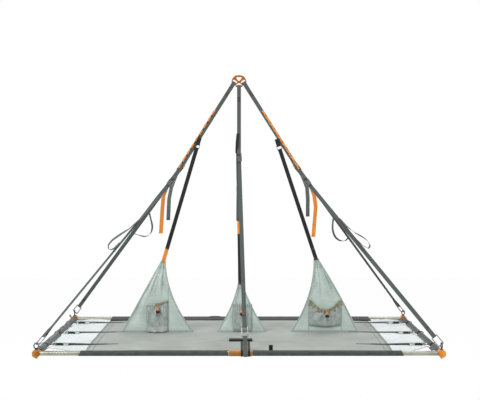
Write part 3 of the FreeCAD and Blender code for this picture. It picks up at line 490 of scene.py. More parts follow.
def plated_steel(name, light, dark, rough=0.36, pit=700.0):
    """Zinc plate or oxide on steel: slightly mottled, and where it is glossy the polish varies in small
    patches.
    """
    made, tree = new_material(name)
    place = add(tree, "TexCoord").outputs["Object"]
    bloom = add(tree, "TexVoronoi", {"Vector": place, "Scale": 240.0})
    grain = add(tree, "TexNoise", {"Vector": place, "Scale": pit, "Detail": 3.0})
    mix = add(tree, "Math", {0: bloom.outputs["Distance"], 1: grain.outputs["Fac"]}, operation="ADD")
    shade = ramp(tree, mix, (0.45, dark), (1.0, light))
    rub = ramp(tree, grain, (0.3, "4A4A4A"), (0.7, "6E6E6E"))
    bump = add(tree, "Bump", {"Height": grain, "Strength": 0.15, "Distance": 0.0002})
    shader = add(tree, "BsdfPrincipled",
                 {"Base Color": shade, "Metallic": 0.9, "Roughness": rough, "Normal": bump})
    if rough < 0.4:
        tree.links.new(rub.outputs[0], shader.inputs["Roughness"])
    add(tree, "OutputMaterial", {"Surface": shader})
    return made


zinc_steel = plated_steel("zinc plated steel", "6C706F", "434746")
for node in ["cam_buckle_frames", "cam_buckle_pins", "gate_pins"] + ["cam_" + leg for leg in LEGS]:
    dress(node, zinc_steel)
dress("divider_clips", plated_steel("black zinc plated steel", "4A4C4B", "2B2D2D", 0.42))


# Carabiners
# Bent from 6 mm aluminium alloy rod with a sprung straight gate, polished bright.

def polished_rod(name, bright, shade):
    """Drawn and tumbled aluminium, with fine scratches from use."""
    made, tree = new_material(name)
    place = add(tree, "TexCoord").outputs["Object"]
    drawn = add(tree, "Mapping", {"Vector": place, "Scale": (1.0, 1.0, 0.15)})
    scratch = add(tree, "TexNoise", {"Vector": drawn, "Scale": 1100.0, "Detail": 4.0})
    tone = ramp(tree, scratch, (0.3, shade), (0.65, bright))
    bump = add(tree, "Bump", {"Height": scratch, "Strength": 0.08, "Distance": 0.0002})
    shader = add(tree, "BsdfPrincipled",
                 {"Base Color": tone, "Metallic": 0.92, "Roughness": 0.24, "Normal": bump})
    add(tree, "OutputMaterial", {"Surface": shader})
    return made


bright_rod = polished_rod("polished aluminium rod", "9BA0A2", "62676A")
for node in ["carabiner_bodies"] + ["gate_" + leg for leg in LEGS]:
    dress(node, bright_rod)


# Corner blocks and eye bolts
# Octagonal corner blocks machined from aluminium bar and anodised orange, each with two spigots in
# the tubes. A black oxide steel eye bolt goes down through each and ends in a nut.

# One orange anodised finish in two copies: the left blocks are darker and browner as painted shade, and the
# right ones are brighter as painted light.
blocks = {"left": anodised("anodised aluminium with painted shade", "B87024", "935415", 0.44),
          "right": anodised("anodised aluminium with painted light", "EE932B", "D27D1E", 0.4)}
for row in ("front", "rear"):
    for side, finish in blocks.items():
        dress(f"corner_{row}_{side}", finish)
dress("corner_eye_bolts", plated_steel("black oxide steel", "55524E", "2C2A29", 0.42))

# A folded tab of orange webbing at the rear left corner, for pulling the frame apart
tab_line = eased([mm(-1049, 596, -1447), mm(-1054, 594, -1437), mm(-1058, 592, -1428),
                  mm(-1062, 591, -1430),
                  mm(-1058, 593, -1440), mm(-1050, 598, -1450)], 0.004, 0.003)
tab, _ = strap("corner_pull_tab", tab_line, Vector((0.2, 1, 0)), orange_webbing, 0.012, 0.0014, columns=3)


# Frame tubes
# Drawn aluminium alloy tube, 25 mm across, anodised clear: silvery grey with fine lines along it.

def drawn_tube(name, direction):
    """Clear anodised drawn tube. The die leaves fine lines lengthwise, about 0.5 mm apart."""
    made, tree = new_material(name)
    place = add(tree, "TexCoord").outputs["Object"]
    stretch = (0.02, 1.0, 1.0) if direction == "X" else (1.0, 0.02, 1.0)
    drawn = add(tree, "Mapping", {"Vector": place, "Scale": stretch})
    lines = add(tree, "TexNoise", {"Vector": drawn, "Scale": 1500.0, "Detail": 3.0})
    stain = add(tree, "TexNoise", {"Vector": place, "Scale": 14.0, "Detail": 3.0})
    tone = ramp(tree, stain, (0.35, "8E8D80"), (0.6, "A9A99F"))
    bump = add(tree, "Bump", {"Height": lines, "Strength": 0.02, "Distance": 0.00005})
    shader = add(tree, "BsdfPrincipled",
                 {"Base Color": tone, "Metallic": 0.95, "Roughness": 0.24, "Normal": bump})
    add(tree, "OutputMaterial", {"Surface": shader})
    return made


beam_metal = drawn_tube("drawn anodised aluminium beam", "X")
dress("beam_tubes", beam_metal)
dress("beam_spigots", beam_metal)
dress("end_tubes", drawn_tube("drawn anodised aluminium end tube", "Y"))


# Couplers
# Turned aluminium sleeves over the joints of the beams, anodised a darker orange.

orange_sleeve = anodised("anodised turned aluminium", "86501F", "633510", 0.36)
dress("front_coupler", orange_sleeve)
dress("rear_coupler", orange_sleeve)


# Beam slings
# Loops of the grey webbing round the middle of each beam, drawn together above it and sewn, with
# an eye at the top for the middle leg's carabiner.

SLINGS = {
    "front": ((0.9996, 0.0138, 0.0247), [(32.1, -579.8, -1422.8), (32.7, -576.0, -1448.7),
                                         (33.7, -592.8, -1478.7),
              (33.7, -622.8, -1461.9), (32.7, -606.0, -1431.9), (32.1, -581.9, -1421.6),
              (31.4, -570.2, -1400.7),
              (30.8, -563.4, -1381.6), (30.5, -558.2, -1372.3), (30.5, -550.2, -1376.8),
              (30.8, -555.4, -1386.1),
              (31.4, -568.1, -1401.8), (32.0, -578.3, -1420.1)]),
    "rear": ((1.0, -0.0045, 0.0066), [(7.8, 578.9, -1423.4), (7.9, 603.9, -1431.5), (8.2, 623.3, -1460.0),
             (8.2, 594.8, -1479.3), (7.9, 575.5, -1450.9), (7.8, 576.9, -1424.7), (7.6, 563.4, -1404.9),
             (7.4, 549.3, -1390.3), (7.3, 543.4, -1381.5), (7.3, 551.0, -1376.4), (7.4, 556.9, -1385.1),
             (7.6, 565.4, -1403.6), (7.7, 577.2, -1420.9)]),
}
sling_sewing = []
for side, (wide, route) in SLINGS.items():
    piece, stations = strap("sling_webbing_" + side, eased([mm(*p) for p in route], 0.03, 0.004),
                            Vector(wide),
                            grey_webbing)
    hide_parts("beam_slings")
    sling_sewing += bartack(stations, stations[-1][0] - 0.030, 0.022)
    sling_sewing += bartack(stations, 0.135 if side == "front" else 0.142, 0.010)
threads("sling_bartacks", sling_sewing, orange_thread, 0.0007)


# Bed
# Coated nylon ripstop, about 1 mm thick, pulled tight between the sleeves on the beams. The dividers
# hold its middle up, and it drops from there to its long edges and under the ladder locks.

BED_HALF, BED_TOP = 0.793, -1.4415
BEAM_Y, BEAM_Z = 0.6, -1.455
CROWN = 0.0105
STEP = -1.4512
TENSION_Y = (-0.380, 0.0, 0.380)


def smooth(low, high, value):
    share = min(1.0, max(0.0, (value - low) / (high - low)))
    return share * share * (3 - 2 * share)


def bed_height(x, y):
    """The bed's upper face: held up by the dividers along the middle, level with the beams' centres
    at its long edges, and lower still where its ends go under the ladder locks."""
    z = BED_TOP - CROWN * smooth(0.26, 0.59, abs(y))
    wave = 0.0013 * noise.noise(Vector((x * 2.3, y * 5.1, 3.0)))
    z += wave * (1 - (y / 0.6) ** 2) * smooth(0.03, 0.2, abs(y))
    for strap_y in TENSION_Y:
        reach = smooth(0.55, 0.85, abs(x))
        z -= 0.0016 * reach * (1 - math.exp(-((y - strap_y) / 0.07) ** 2))
    under = smooth(0.880, 0.916, abs(x))
    return z + (STEP - z) * under


def coated_ripstop(name, cloth, shade, line, pitch=0.013, rough=0.5, sheen=0.12, soil=0.5):
    """Coated ripstop. Its grid of thicker yarns is about 5 mm in the real cloth, and is drawn wider."""
    made, tree = new_material(name)
    place = add(tree, "UVMap", uv_map="cut").outputs["UV"]
    grid = [add(tree, "TexWave", {"Vector": place, "Scale": 0.314 / pitch}, bands_direction=way,
                wave_profile="SIN") for way in ("X", "Y")]
    thin = [add(tree, "Math", {0: wave.outputs["Fac"], 1: power}, operation="POWER")
            for wave, power in zip(grid, (22.0, 14.0))]
    lines = add(tree, "Math", {0: thin[0], 1: thin[1]}, operation="MAXIMUM")
    weave = add(tree, "TexNoise", {"Vector": place, "Scale": 1400.0, "Detail": 2.0})
    long = add(tree, "Mapping", {"Vector": place, "Scale": (0.10, 1.0, 1.0)})
    streak = add(tree, "TexNoise", {"Vector": long, "Scale": 70.0, "Detail": 4.0})
    cloud = add(tree, "TexNoise", {"Vector": place, "Scale": 5.0, "Detail": 3.0})
    tone = add(tree, "Math", {0: streak.outputs["Fac"], 1: soil, 2: cloud.outputs["Fac"]},
               operation="MULTIPLY_ADD")
    base = ramp(tree, tone, (0.50, shade), (1.0, cloth))
    drawn = add(tree, "Math", {0: lines, 1: 0.35}, operation="MULTIPLY")
    woven = add(tree, "Mix", {0: drawn, 6: base, 7: linear(line)}, data_type="RGBA")
    height = add(tree, "Math", {0: lines, 1: 0.6, 2: weave.outputs["Fac"]}, operation="MULTIPLY_ADD")
    bump = add(tree, "Bump", {"Height": height, "Strength": 0.22, "Distance": 0.0004})
    shader = add(tree, "BsdfPrincipled",
                 {"Base Color": woven.outputs[2], "Roughness": rough, "Specular IOR Level": 0.3,
                  "Sheen Weight": sheen, "Sheen Roughness": 0.4, "Normal": bump})
    add(tree, "OutputMaterial", {"Surface": shader})
    return made


def cloth_grid(name, place, columns, rows, cut, cloth, thick=0.001, offset=0.0, body=LEDGE):
    """A sheet of cloth: place and cut give each point's position and its spot on the flat cut."""
    points, spots, faces = [], [], []
    for j in range(rows + 1):
        for i in range(columns + 1):
            s, t = i / columns, j / rows
            points.append(place(s, t))
            spots.append(cut(s, t))
    for j in range(rows):
        for i in range(columns):
            a = j * (columns + 1) + i
            faces.append((a, a + 1, a + columns + 2, a + columns + 1))
    made = mesh_piece(name, points, faces, cloth, spots, body, crease=3.1)
    shell = made.modifiers.new("cloth thickness", "SOLIDIFY")
    shell.thickness = thick
    shell.offset = offset
    return made


def bed_reach(x, row):
    """How far the bed goes towards a beam: it is cut back round the coupler and the sling."""
    joint, length, sling = (0.0085, 0.119, 0.033) if row < 0 else (-0.145, 0.060, 0.008)
    if abs(x - sling) < 0.0135:
        return 0.5700
    if abs(x - joint) < length / 2 + 0.007:
        return 0.5800
    return 0.5840


breaks = []
for centre, half in ((0.033, 0.0135), (0.0085, 0.0665), (0.008, 0.0135), (-0.145, 0.037)):
    for edge in (centre - half, centre + half):
        breaks += [edge - 0.001, edge + 0.001]
bed_x = sorted(set([-BED_HALF + 2 * BED_HALF * i / 132 for i in range(133)] + breaks))
bed_rows = 64


def bed_spot(s, t):
    x = bed_x[round(s * (len(bed_x) - 1))]
    low, high = -bed_reach(x, -1), bed_reach(x, 1)
    y = low + (high - low) * t
    return Vector((x, y, bed_height(x, y)))


bed_ripstop = coated_ripstop("coated nylon ripstop", "A5A9A3", "8B908A", "7C827D", 0.012, 0.7)
bed = cloth_grid("bed_cloth", bed_spot, len(bed_x) - 1, bed_rows,
                 lambda s, t: (bed_x[round(s * (len(bed_x) - 1))],
                               (t - 0.5) * 1.168), bed_ripstop, 0.0012, -1.0)
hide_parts("bed_panel")

# Lock stitches: two lines where the bed meets each sleeve and three where an end panel starts
grey_thread = sewing_thread("grey bonded thread", "6A706D", "3F4442")
seams = []


def on_bed(a, b, lift=0.0006, step=0.012):
    """Points of a seam laid on the bed between two places."""
    count = max(2, round((b - a).length / step))
    line = []
    for k in range(count + 1):
        x, y = a.lerp(b, k / count)
        line.append(Vector((x, y, bed_height(x, y) + lift)))
    return line


for y in (-0.548, -0.541, 0.492, 0.485):
    seams.append(on_bed(Vector((-BED_HALF, y)), Vector((BED_HALF, y))))
for sign in (-1, 1):
    for x in (0.789, 0.781, 0.756):
        seams.append(on_bed(Vector((sign * x, -0.575)), Vector((sign * x, 0.575))))
threads("bed_seams", seams, grey_thread, 0.0009)


# End panels
# Pale green coated nylon, sewn to the bed's ends. Its outer edge is cut out round the ladder locks,
# rounded at the corners and bound with narrow tape, and it billows a little between the straps.

END_REACH, TAB_REACH, END_PANEL_HALF = 0.996, 0.972, 0.560


def end_reach(y):
    """Distance of the panel's outer edge from the middle: it is cut out round each ladder lock and
    rounded at the corners, and between those it reaches the end sleeve."""
    corner = min(1.0, max(0.0, (abs(y) - 0.43) / (END_PANEL_HALF - 0.43)))
    near = min(abs(y - strap_y) for strap_y in TENSION_Y)
    return TAB_REACH + (END_REACH - TAB_REACH) * smooth(0.012, 0.034, near) - 0.130 * corner ** 2.2


def mint_cloth(name, cloth, shade, line):
    return coated_ripstop(name, cloth, shade, line, 0.011, 0.42, 0.2, 0.35)


mint_ripstop = mint_cloth("pale green coated nylon", "E6EBEA", "C5CECB", "B0BBB7")
binding_tape = woven_webbing("narrow binding tape", "B4BFBA", "97A39D")
panel_y = [-END_PANEL_HALF + 2 * END_PANEL_HALF * i / 140 for i in range(141)]
panel_columns = 26
for sign, side in ((-1, "left"), (1, "right")):

    def panel_spot(s, t, sign=sign):
        y = panel_y[round(t * (len(panel_y) - 1))]
        x = BED_HALF - 0.004 + (end_reach(y) - BED_HALF + 0.004) * s
        near = min(abs(y - strap_y) for strap_y in TENSION_Y)
        billow = 0.0052 * s * smooth(0.03, 0.15, near) * (1 if sign > 0 else 0.8)
        away = min((y - strap_y for strap_y in TENSION_Y), key=abs)
        rays = math.sin(9 * math.atan2(away, 0.96 - x + 0.05) + sign) * smooth(0.012, 0.05, near)
        wrinkle = 0.0055 * noise.noise(Vector((x * 9, y * 15, 7.0 + sign))) * smooth(0.01, 0.06, near)
        wrinkle += 0.0050 * rays * math.exp(-near / 0.11)
        return Vector((sign * x, y, bed_height(x, y) - 0.0012 + billow + wrinkle * s))

    panel = cloth_grid("end_panel_" + side, panel_spot, panel_columns, len(panel_y) - 1,
                       lambda s, t: (0.18 * s, (t - 0.5) * 1.12), mint_ripstop, 0.001, -1.0)
    if sign > 0:
        panel.data.flip_normals()
    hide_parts("end_panels")
    edge_line = [panel_spot(1.0, k / (len(panel_y) - 1)) + Vector((-sign * 0.004, 0, 0.0004))
                 for k in range(len(panel_y))]
    tape, _ = strap("end_binding_" + side, edge_line, Vector((1, 0, 0)), binding_tape, 0.007, 0.0020,
                    columns=4)


# Beam sleeves
# Dark grey coated cloth doubled into sleeves round the beams: two on the front beam, cut at a
# slant, that leave its coupler bare, and one black one over the whole middle of the rear beam.

def coated_cloth(name, cloth, shade, rough=0.6):
    """Heavy coated pack cloth: a plain weave about 0.8 mm apart under a thin polyurethane coat."""
    made, tree = new_material(name)
    place = add(tree, "UVMap", uv_map="cut").outputs["UV"]
    weave = [add(tree, "TexWave", {"Vector": place, "Scale": 0.314 / 0.0018, "Distortion": 0.5},
                 bands_direction=way) for way in ("X", "Y")]
    plain = add(tree, "Math", {0: weave[0].outputs["Fac"], 1: weave[1].outputs["Fac"]},
                operation="MULTIPLY")
    crease = add(tree, "TexNoise", {"Vector": place, "Scale": 26.0, "Detail": 5.0})
    tone = add(tree, "Math", {0: plain, 1: 0.25, 2: crease.outputs["Fac"]}, operation="MULTIPLY_ADD")
    base = ramp(tree, tone, (0.38, shade), (0.82, cloth))
    bump = add(tree, "Bump", {"Height": tone, "Strength": 0.4, "Distance": 0.0012})
    shader = add(tree, "BsdfPrincipled",
                 {"Base Color": base, "Roughness": rough, "Specular IOR Level": 0.3, "Sheen Weight": 0.05,
                  "Normal": bump})
    add(tree, "OutputMaterial", {"Surface": shader})
    return made


grey_sleeve = coated_cloth("grey coated pack cloth", "484D4A", "323634")
black_sleeve = coated_cloth("black coated pack cloth", "26272A", "161718")


def sleeve(name, start, end, section, cloth, slants=(0.0, 0.0), step=0.012):
    """Cloth round a tube: section gives the outline's points, outward and up from the tube's centre, at
    a distance along it. slants lean the cut ends."""
    axis = (end - start).normalized()
    out = Vector((0, 1, 0)) if abs(axis.x) > 0.5 else Vector((1, 0, 0))
    out *= -1 if (start.dot(out) < 0) else 1
    length = (end - start).length
    count = max(2, round(length / step))
    points, spots, faces = [], [], []
    for j in range(count + 1):
        t = j / count
        outline = section(length * t)
        around = len(outline)
        for i, (u, w) in enumerate(outline):
            lean = (slants[0] * (1 - t) - slants[1] * t) * (0.5 + 0.5 * w / HEM_R)
            points.append(start + axis * (length * t + lean) + out * u + Vector((0, 0, w)))
            spots.append((length * t, 0.2 * i / around))
    for j in range(count):
        for i in range(around):
            a, b = j * around + i, j * around + (i + 1) % around
            faces.append((a, b, b + around, a + around))
    made = mesh_piece(name, points, faces, cloth, spots, crease=3.1)
    shell = made.modifiers.new("cloth thickness", "SOLIDIFY")
    shell.thickness = 0.0011
    shell.offset = 1.0 if out.cross(Vector((0, 0, 1))).dot(axis) < 0 else -1.0
    return made


def beam(x, row):
    return Vector((x, row * BEAM_Y, BEAM_Z))


HEM_R = 0.0129
# How far in from the beam's centre the two layers of each sleeve are sewn to the bed
FRONT_SEAM, REAR_SEAM = 0.046, 0.108


def drop_shape(radius, seam, rise, around=30):
    """Outline of a sleeve pulled inward: a circle closed by two straight runs that meet in a seam."""
    lean = math.acos(min(1.0, radius / seam))
    outline = [(-seam, rise)]
    for i in range(around + 1):
        turn = math.pi - lean - 2 * (math.pi - lean) * i / around
        outline.append((radius * math.cos(turn), radius * math.sin(turn)))
    for k in (0.25, 0.5, 0.75):
        outline.insert(1 + round(k * 4) - 1, (-seam + (outline[-around - 1][0] + seam) * k,
                                              rise + (outline[-around - 1][1] - rise) * k))
    return outline


for side, low, high, slants in (("left", -0.817, -0.0525, (0.013, 0.006)),
                                ("right", 0.069, 0.837, (0.0, 0.011))):
    hem = sleeve("front_sleeve_" + side, beam(low, -1), beam(high, -1),
                 lambda along: drop_shape(HEM_R, FRONT_SEAM, 0.0025), grey_sleeve, slants=slants)
    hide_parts("front_hem")


def rear_section(along):
    """The rear sleeve swells over the coupler, and is cut back round the sling."""
    x = -0.794 + along
    swell = 1 / (1 + math.exp((abs(x + 0.145) - 0.032) * 260))
    seam = REAR_SEAM - 0.0915 * (1 - smooth(0.0135, 0.0175, abs(x - 0.008)))
    return drop_shape(HEM_R + 0.0034 * swell, seam, 0.0045 * smooth(0.02, 0.1, seam))


hem = sleeve("rear_sleeve", beam(-0.794, 1), beam(0.822, 1), rear_section, black_sleeve,
             slants=(0.0, 0.012),
             step=0.005)
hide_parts("rear_hem")


# End sleeves
# The same grey cloth round the end tubes, gathered loosely, with a narrow flap towards the bed that is
# widest half way between the tension straps. On the left roll it is drawn paler with a near-black
# mottle: painted highlights and painted shade.

# Painted highlights and painted shade: a pale grey and a near-black, mottled by the cloth's noise, for the
# left roll only.
roll_cloth_with_painted_light = coated_cloth("grey coated pack cloth with painted highlights and shade", "7C8483", "1F2424")
for sign, side in ((-1, "left"), (1, "right")):
    x = sign * 1.03
    lump = 0.0052 if sign < 0 else 0.0016

    def loose(along, sign=sign, lump=lump):
        outline = []
        for i in range(28):
            turn = 2 * math.pi * i / 28
            swell = noise.noise(Vector((along * 9, math.cos(turn) * 0.9, math.sin(turn) * 0.9 + sign * 4)))
            crease = noise.noise(Vector((along * 34, math.cos(turn) * 1.6,
                                         math.sin(turn) * 1.6 + sign * 4)))
            wide = HEM_R + lump * (0.45 + 0.9 * max(-0.5, swell)) + lump * 0.35 * (1 + crease)
            outline.append((wide * math.cos(turn), wide * math.sin(turn)))
        return outline

    sock = sleeve("end_roll_" + side, Vector((x, -0.56, BEAM_Z)), Vector((x, 0.56, BEAM_Z)), loose,
                  roll_cloth_with_painted_light if sign < 0 else grey_sleeve)
    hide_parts("end_sleeves")

    def flap_spot(s, t, sign=sign):
        y = -0.552 + 1.104 * t
        near = min(abs(y - strap_y) for strap_y in TENSION_Y)
        reach = 0.006 + (0.028 if sign > 0 else 0.018) * smooth(0.015, 0.11, near)
        lump = 0.0014 * noise.noise(Vector((s * 2, y * 16, 2.0 + sign)))
        return Vector((sign * (1.021 - reach * s), y, BEAM_Z + 0.0092 - 0.0040 * s + lump * s))

    flap = cloth_grid("end_flap_" + side, flap_spot, 6, 110, lambda s, t: (0.04 * s, 1.1 * t), grey_sleeve,
                      0.0014)


# Tension straps, ladder locks and patches
# Three straps at each end draw the bed tight: one sewn to the bed and one round the end sleeve,
# both through a moulded black acetal ladder lock. Dark tapered patches spread their pull.

def moulded_acetal(name, colour, worn):
    """Injection-moulded acetal: a fine spark texture from the mould, scuffed a little paler."""
    made, tree = new_material(name)
    place = add(tree, "TexCoord").outputs["Object"]
    spark = add(tree, "TexNoise", {"Vector": place, "Scale": 1600.0, "Detail": 2.0})
    scuff = add(tree, "TexNoise", {"Vector": place, "Scale": 90.0, "Detail": 4.0})
    tone = ramp(tree, scuff, (0.5, colour), (0.78, worn))
    bump = add(tree, "Bump", {"Height": spark, "Strength": 0.2, "Distance": 0.0002})
    shader = add(tree, "BsdfPrincipled",
                 {"Base Color": tone, "Roughness": 0.5, "Specular IOR Level": 0.22, "Normal": bump})
    add(tree, "OutputMaterial", {"Surface": shader})
    return made


black_acetal = moulded_acetal("moulded black acetal", "161616", "2E2E2D")
for node in ["ladder_locks", "cord_locks"] + ["lock_plunger_" + side for side in LOCKS]:
    dress(node, black_acetal)

INNER = [(780.0, -1441.2), (913.0, -1441.2), (927.8, -1442.2), (940.1, -1442.2), (940.1, -1448.8),
         (930.8, -1448.8)]
OUTER = [(989.2, -1442.2), (959.9, -1442.2), (959.9, -1448.8), (972.2, -1448.8), (1012.1, -1449.0),
         (1021.0, -1439.1), (1045.9, -1439.1), (1045.9, -1470.9), (1020.0, -1470.9), (984.0, -1454.0)]
strap_sewing = []
for sign, side in ((-1, "left"), (1, "right")):
    for y, row in zip(TENSION_Y, ("front", "middle", "rear")):
        inner = [mm(sign * x, y * 1000, z) for x, z in INNER]
        start = sign * 0.700
        inner = [Vector((start + (inner[0].x - start) * k / 5, y, 0)) for k in range(5)] + inner
        for point in inner[:5]:
            point.z = bed_height(point.x, y) + 0.0022
        inner[5].z = bed_height(inner[5].x, y) + 0.0022
        piece, stations = strap(f"tension_strap_{side}_{row}", eased(inner, 0.006, 0.008),
                                Vector((0, 1, 0)),
                                grey_webbing, thick=0.0016)
        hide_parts("tension_straps")
        strap_sewing += bartack(stations, 0.075, 0.012, 0.0016, faces=(1, -1))
        outer = [mm(sign * x, y * 1000, z) for x, z in OUTER]
        piece, stations = strap(f"tension_loop_{side}_{row}", eased(outer, 0.008, 0.004), Vector((0, 1, 0)),
                                black_webbing, thick=0.0016)
        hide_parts("tension_straps")

        def patch_spot(s, t, sign=sign, y=y):
            tip = 0.640 if sign < 0 else 0.620
            x = tip + (0.905 - tip) * s
            half = 0.003 + 0.014 * min(1.0, s / 0.6)
            spot = sign * x
            side_y = y + (t - 0.5) * 2 * half
            return Vector((spot, side_y, bed_height(math.copysign(min(x, 0.882), spot), side_y) + 0.0009))

        patch = cloth_grid(f"bed_patch_{side}_{row}", patch_spot, 24, 4,
                           lambda s, t: (0.25 * s, 0.03 * t), grey_sleeve, 0.0010)
        if sign < 0:
            patch.data.flip_normals()
        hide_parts("bed_patches")
threads("strap_bartacks", strap_sewing, black_thread, 0.0006)

# A T of black webbing by the front beam: its two strips go on round the coupler
CROSS_Y, STRIPS, WRAP_R = -0.298, (0.0148, 0.0514), 0.0172
black_tape = woven_webbing("black nylon tape", "1E1F1F", "0D0D0D")
bar_line = [Vector((x / 1000, CROSS_Y, bed_height(x / 1000, CROSS_Y) + 0.0054)) for x in range(-53, 72, 4)]
bar, _ = strap("bed_cross_patch", bar_line, Vector((0, 1, 0)), black_tape, 0.052, 0.0095, columns=8)
for index, x in enumerate(STRIPS):
    line = [Vector((x, -0.280 - 0.0118 * k, bed_height(x,
                                                       -0.280 - 0.0118 * k) + 0.0022)) for k in range(26)]
    for k in range(28):
        turn = math.radians(-12 + 11.5 * k)
        line.append(Vector((x, -BEAM_Y - WRAP_R * math.sin(turn), BEAM_Z + WRAP_R * math.cos(turn))))
    strip, _ = strap("beam_wrap_" + "ab"[index], line, Vector((1, 0, 0)), black_tape, 0.011, 0.0014,
                     columns=4)
foot = bed_height(0.163, -0.560) + 0.001
tab_line = eased([Vector((0.163, -0.545, foot)), Vector((0.163, -0.558, foot)),
                  Vector((0.163, -0.562, foot + 0.031)),
                  Vector((0.163, -0.566, foot + 0.031)), Vector((0.163, -0.570, foot)),
                  Vector((0.163, -0.572, foot))], 0.002, 0.003)
tab, _ = strap("bed_loop_patch", tab_line, Vector((1, 0, 0)), black_tape, 0.020, 0.0016, columns=5)


# Dividers
# Triangles of the pale coated nylon that stand on the bed's middle line. Each hangs from its apex,
# where it is gathered, so soft folds run down from there, and its slanted edges are hemmed.

DIVIDERS = {
    "left": {"base": (-0.667, -0.257), "apex": (-0.4286, -1.041), "bow": (0.0, -0.038),
             "pocket": (-0.523, -0.404, -1.262), "seams": (-0.400,)},
    "middle": {"base": (-0.126, 0.156), "apex": (0.007, -1.168), "bow": (0.017, -0.012),
               "pocket": (-0.034, 0.074, -1.280), "seams": (-0.034, 0.056)},
    "right": {"base": (0.293, 0.679), "apex": (0.436, -1.027), "bow": (0.035, 0.008),
              "pocket": (0.397, 0.579, -1.266), "seams": (0.396, 0.580)},
}
divider_cloth = mint_cloth("pale green divider nylon", "D2DED7", "AFBEB6", "A5B3AC")
hem_tape = woven_webbing("pale hem tape", "B9C6C0", "97A59D")
mint_thread = sewing_thread("pale green thread", "9DAAA3", "6F7C75")
hem_lines = []
for index, (side, spec) in enumerate(DIVIDERS.items()):
    low, high = spec["base"]
    apex_x, apex_z = spec["apex"]

    def divider_spot(s, t, spec=spec, index=index):
        low, high = spec["base"]
        apex_x, apex_z = spec["apex"]
        lean = 4 * t * (1 - t)
        left = low + (apex_x - 0.011 - low) * t + spec["bow"][0] * lean
        right = high + (apex_x + 0.011 - high) * t + spec["bow"][1] * lean
        x = left + (right - left) * s
        foot = bed_height(x, 0.0) + 0.0012
        z = foot + (apex_z - foot) * t
        arch = math.sin(math.pi * min(1.0, t * 1.12)) ** 0.8 if t < 0.89 else 0.0
        free = arch if t < 0.89 else max(0.0, 1 - (t - 0.89) / 0.11) * 0.5
        folds = math.sin(s * 17.0 + index * 2.1 + 2 * t) * 0.0085 + math.sin(s * 29.0 + index) * 0.0050 * t
        near_hem = math.exp(-((s - 0.12) / 0.13) ** 2)
        folds += 0.0080 * math.sin((s * 0.9 + t) * 21.0 + index) * near_hem * (1 - t)
        drape = 0.0120 * noise.noise(Vector((s * 3.1 + index * 5, t * 1.3, 0.5)))
        edge = min(1.0, min(s, 1 - s) / 0.12)
        pleat = 0.0022 * math.sin(s * 46.0 + index) * max(0.0, t - 0.55) / 0.45
        y = (folds + drape) * free * (0.35 + 0.65 * edge) + pleat
        a, b, top = spec["pocket"]
        across = smooth(a - 0.045, a - 0.005, x) * (1 - smooth(b + 0.005, b + 0.045, x))
        behind = across * (1 - smooth(top, top + 0.09, z))
        return Vector((x, y * (1 - 0.8 * behind), z))

    panel = cloth_grid("divider_sheet_" + side, divider_spot, 84, 84,
                       lambda s, t, low=low, high=high: (low + (high - low) * s,
                                                         0.4 * t), divider_cloth, 0.0011)
    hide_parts("divider_" + side)
    for end, name in ((0.0, "a"), (1.0, "b")):
        line = [divider_spot(abs(end - 0.018 - 0.05 * t ** 6), t) for t in (k / 60 for k in range(61))]
        tape, stations = strap(f"divider_hem_{side}_{name}", line, Vector((1, 0, 0)), hem_tape, 0.010,
                               0.0026,
                               columns=4)
        hem_lines += [[station(stations, 0.006 * k)[0] + Vector((0, -0.0016, 0)) for k in range(2, 60)]]
    foot_line = [divider_spot(k / 60, 0.010) for k in range(61)]
    tape, _ = strap(f"divider_foot_{side}", foot_line, Vector((0, 0, 1)), hem_tape, 0.012, 0.0028,
                    columns=4)
    for number, x in enumerate(spec["seams"]):
        line = []
        for k in range(61):
            t = 0.012 + 0.95 * k / 60
            best = min(range(101), key=lambda i: abs(divider_spot(i / 100, t).x - x))
            if 3 < best < 97:
                line.append(divider_spot(best / 100, t))
        if len(line) > 4:
            line = [Vector((x, p.y, p.z)) for p in line]
            tape, _ = strap(f"divider_seam_{side}_{number}", line, Vector((1, 0, 0)), hem_tape, 0.006,
                            0.0026,
                            columns=3)
threads("divider_stitches", hem_lines, mint_thread, 0.0004)


# Divider pockets
# Fine grey mesh on the front of each divider, fuller than the cloth behind it, with its top edge
# gathered by the elastic cord in a khaki hem.

def fine_mesh(name, yarn, hole_shade):
    """Knitted mesh with holes about 1 mm apart, drawn at 4 mm, through which the divider shows; the holes
    are painted a darker grey as the shade inside the pocket.
    """
    made, tree = new_material(name)
    place = add(tree, "UVMap", uv_map="cut").outputs["UV"]
    cells = add(tree, "TexVoronoi", {"Vector": place, "Scale": 320.0, "Randomness": 0.15})
    cloud = add(tree, "TexNoise", {"Vector": place, "Scale": 30.0, "Detail": 4.0})
    tone = add(tree, "Math", {0: cells.outputs["Distance"], 1: 0.7, 2: cloud.outputs["Fac"]},
               operation="MULTIPLY_ADD")
    shade = ramp(tree, tone, (0.55, hole_shade), (1.05, yarn))
    bump = add(tree, "Bump", {"Height": cells.outputs["Distance"], "Strength": 0.5, "Distance": 0.0006})
    shader = add(tree, "BsdfPrincipled",
                 {"Base Color": shade, "Roughness": 0.8, "Sheen Weight": 0.15, "Normal": bump})
    add(tree, "OutputMaterial", {"Surface": shader})
    return made


pocket_mesh = fine_mesh("grey pocket mesh", "AFB9B2", "868F89")
khaki_hem = coated_cloth("khaki gathered hem", "A39D86", "7C7763", 0.75)
# Places along each pocket's width with how far its rim hangs below the top there, and its bottom's height
HEM_LINES = {"left": [(0.0, 0.026), (0.58, 0.016), (1.0, 0.0015)], "middle": [(0.0, 0.004), (1.0, 0.004)],
             "right": [(0.0, 0.0), (0.1, 0.022), (0.3, 0.050), (0.56, 0.061), (0.8, 0.040), (0.94, 0.014),
                       (1.0, 0.0)]}


def level(table, s):
    """Value at s of a table of points joined by straight runs."""
    for (a, low), (b, high) in zip(table, table[1:]):
        if s <= b:
            return low + (high - low) * (s - a) / (b - a)
    return table[-1][1]


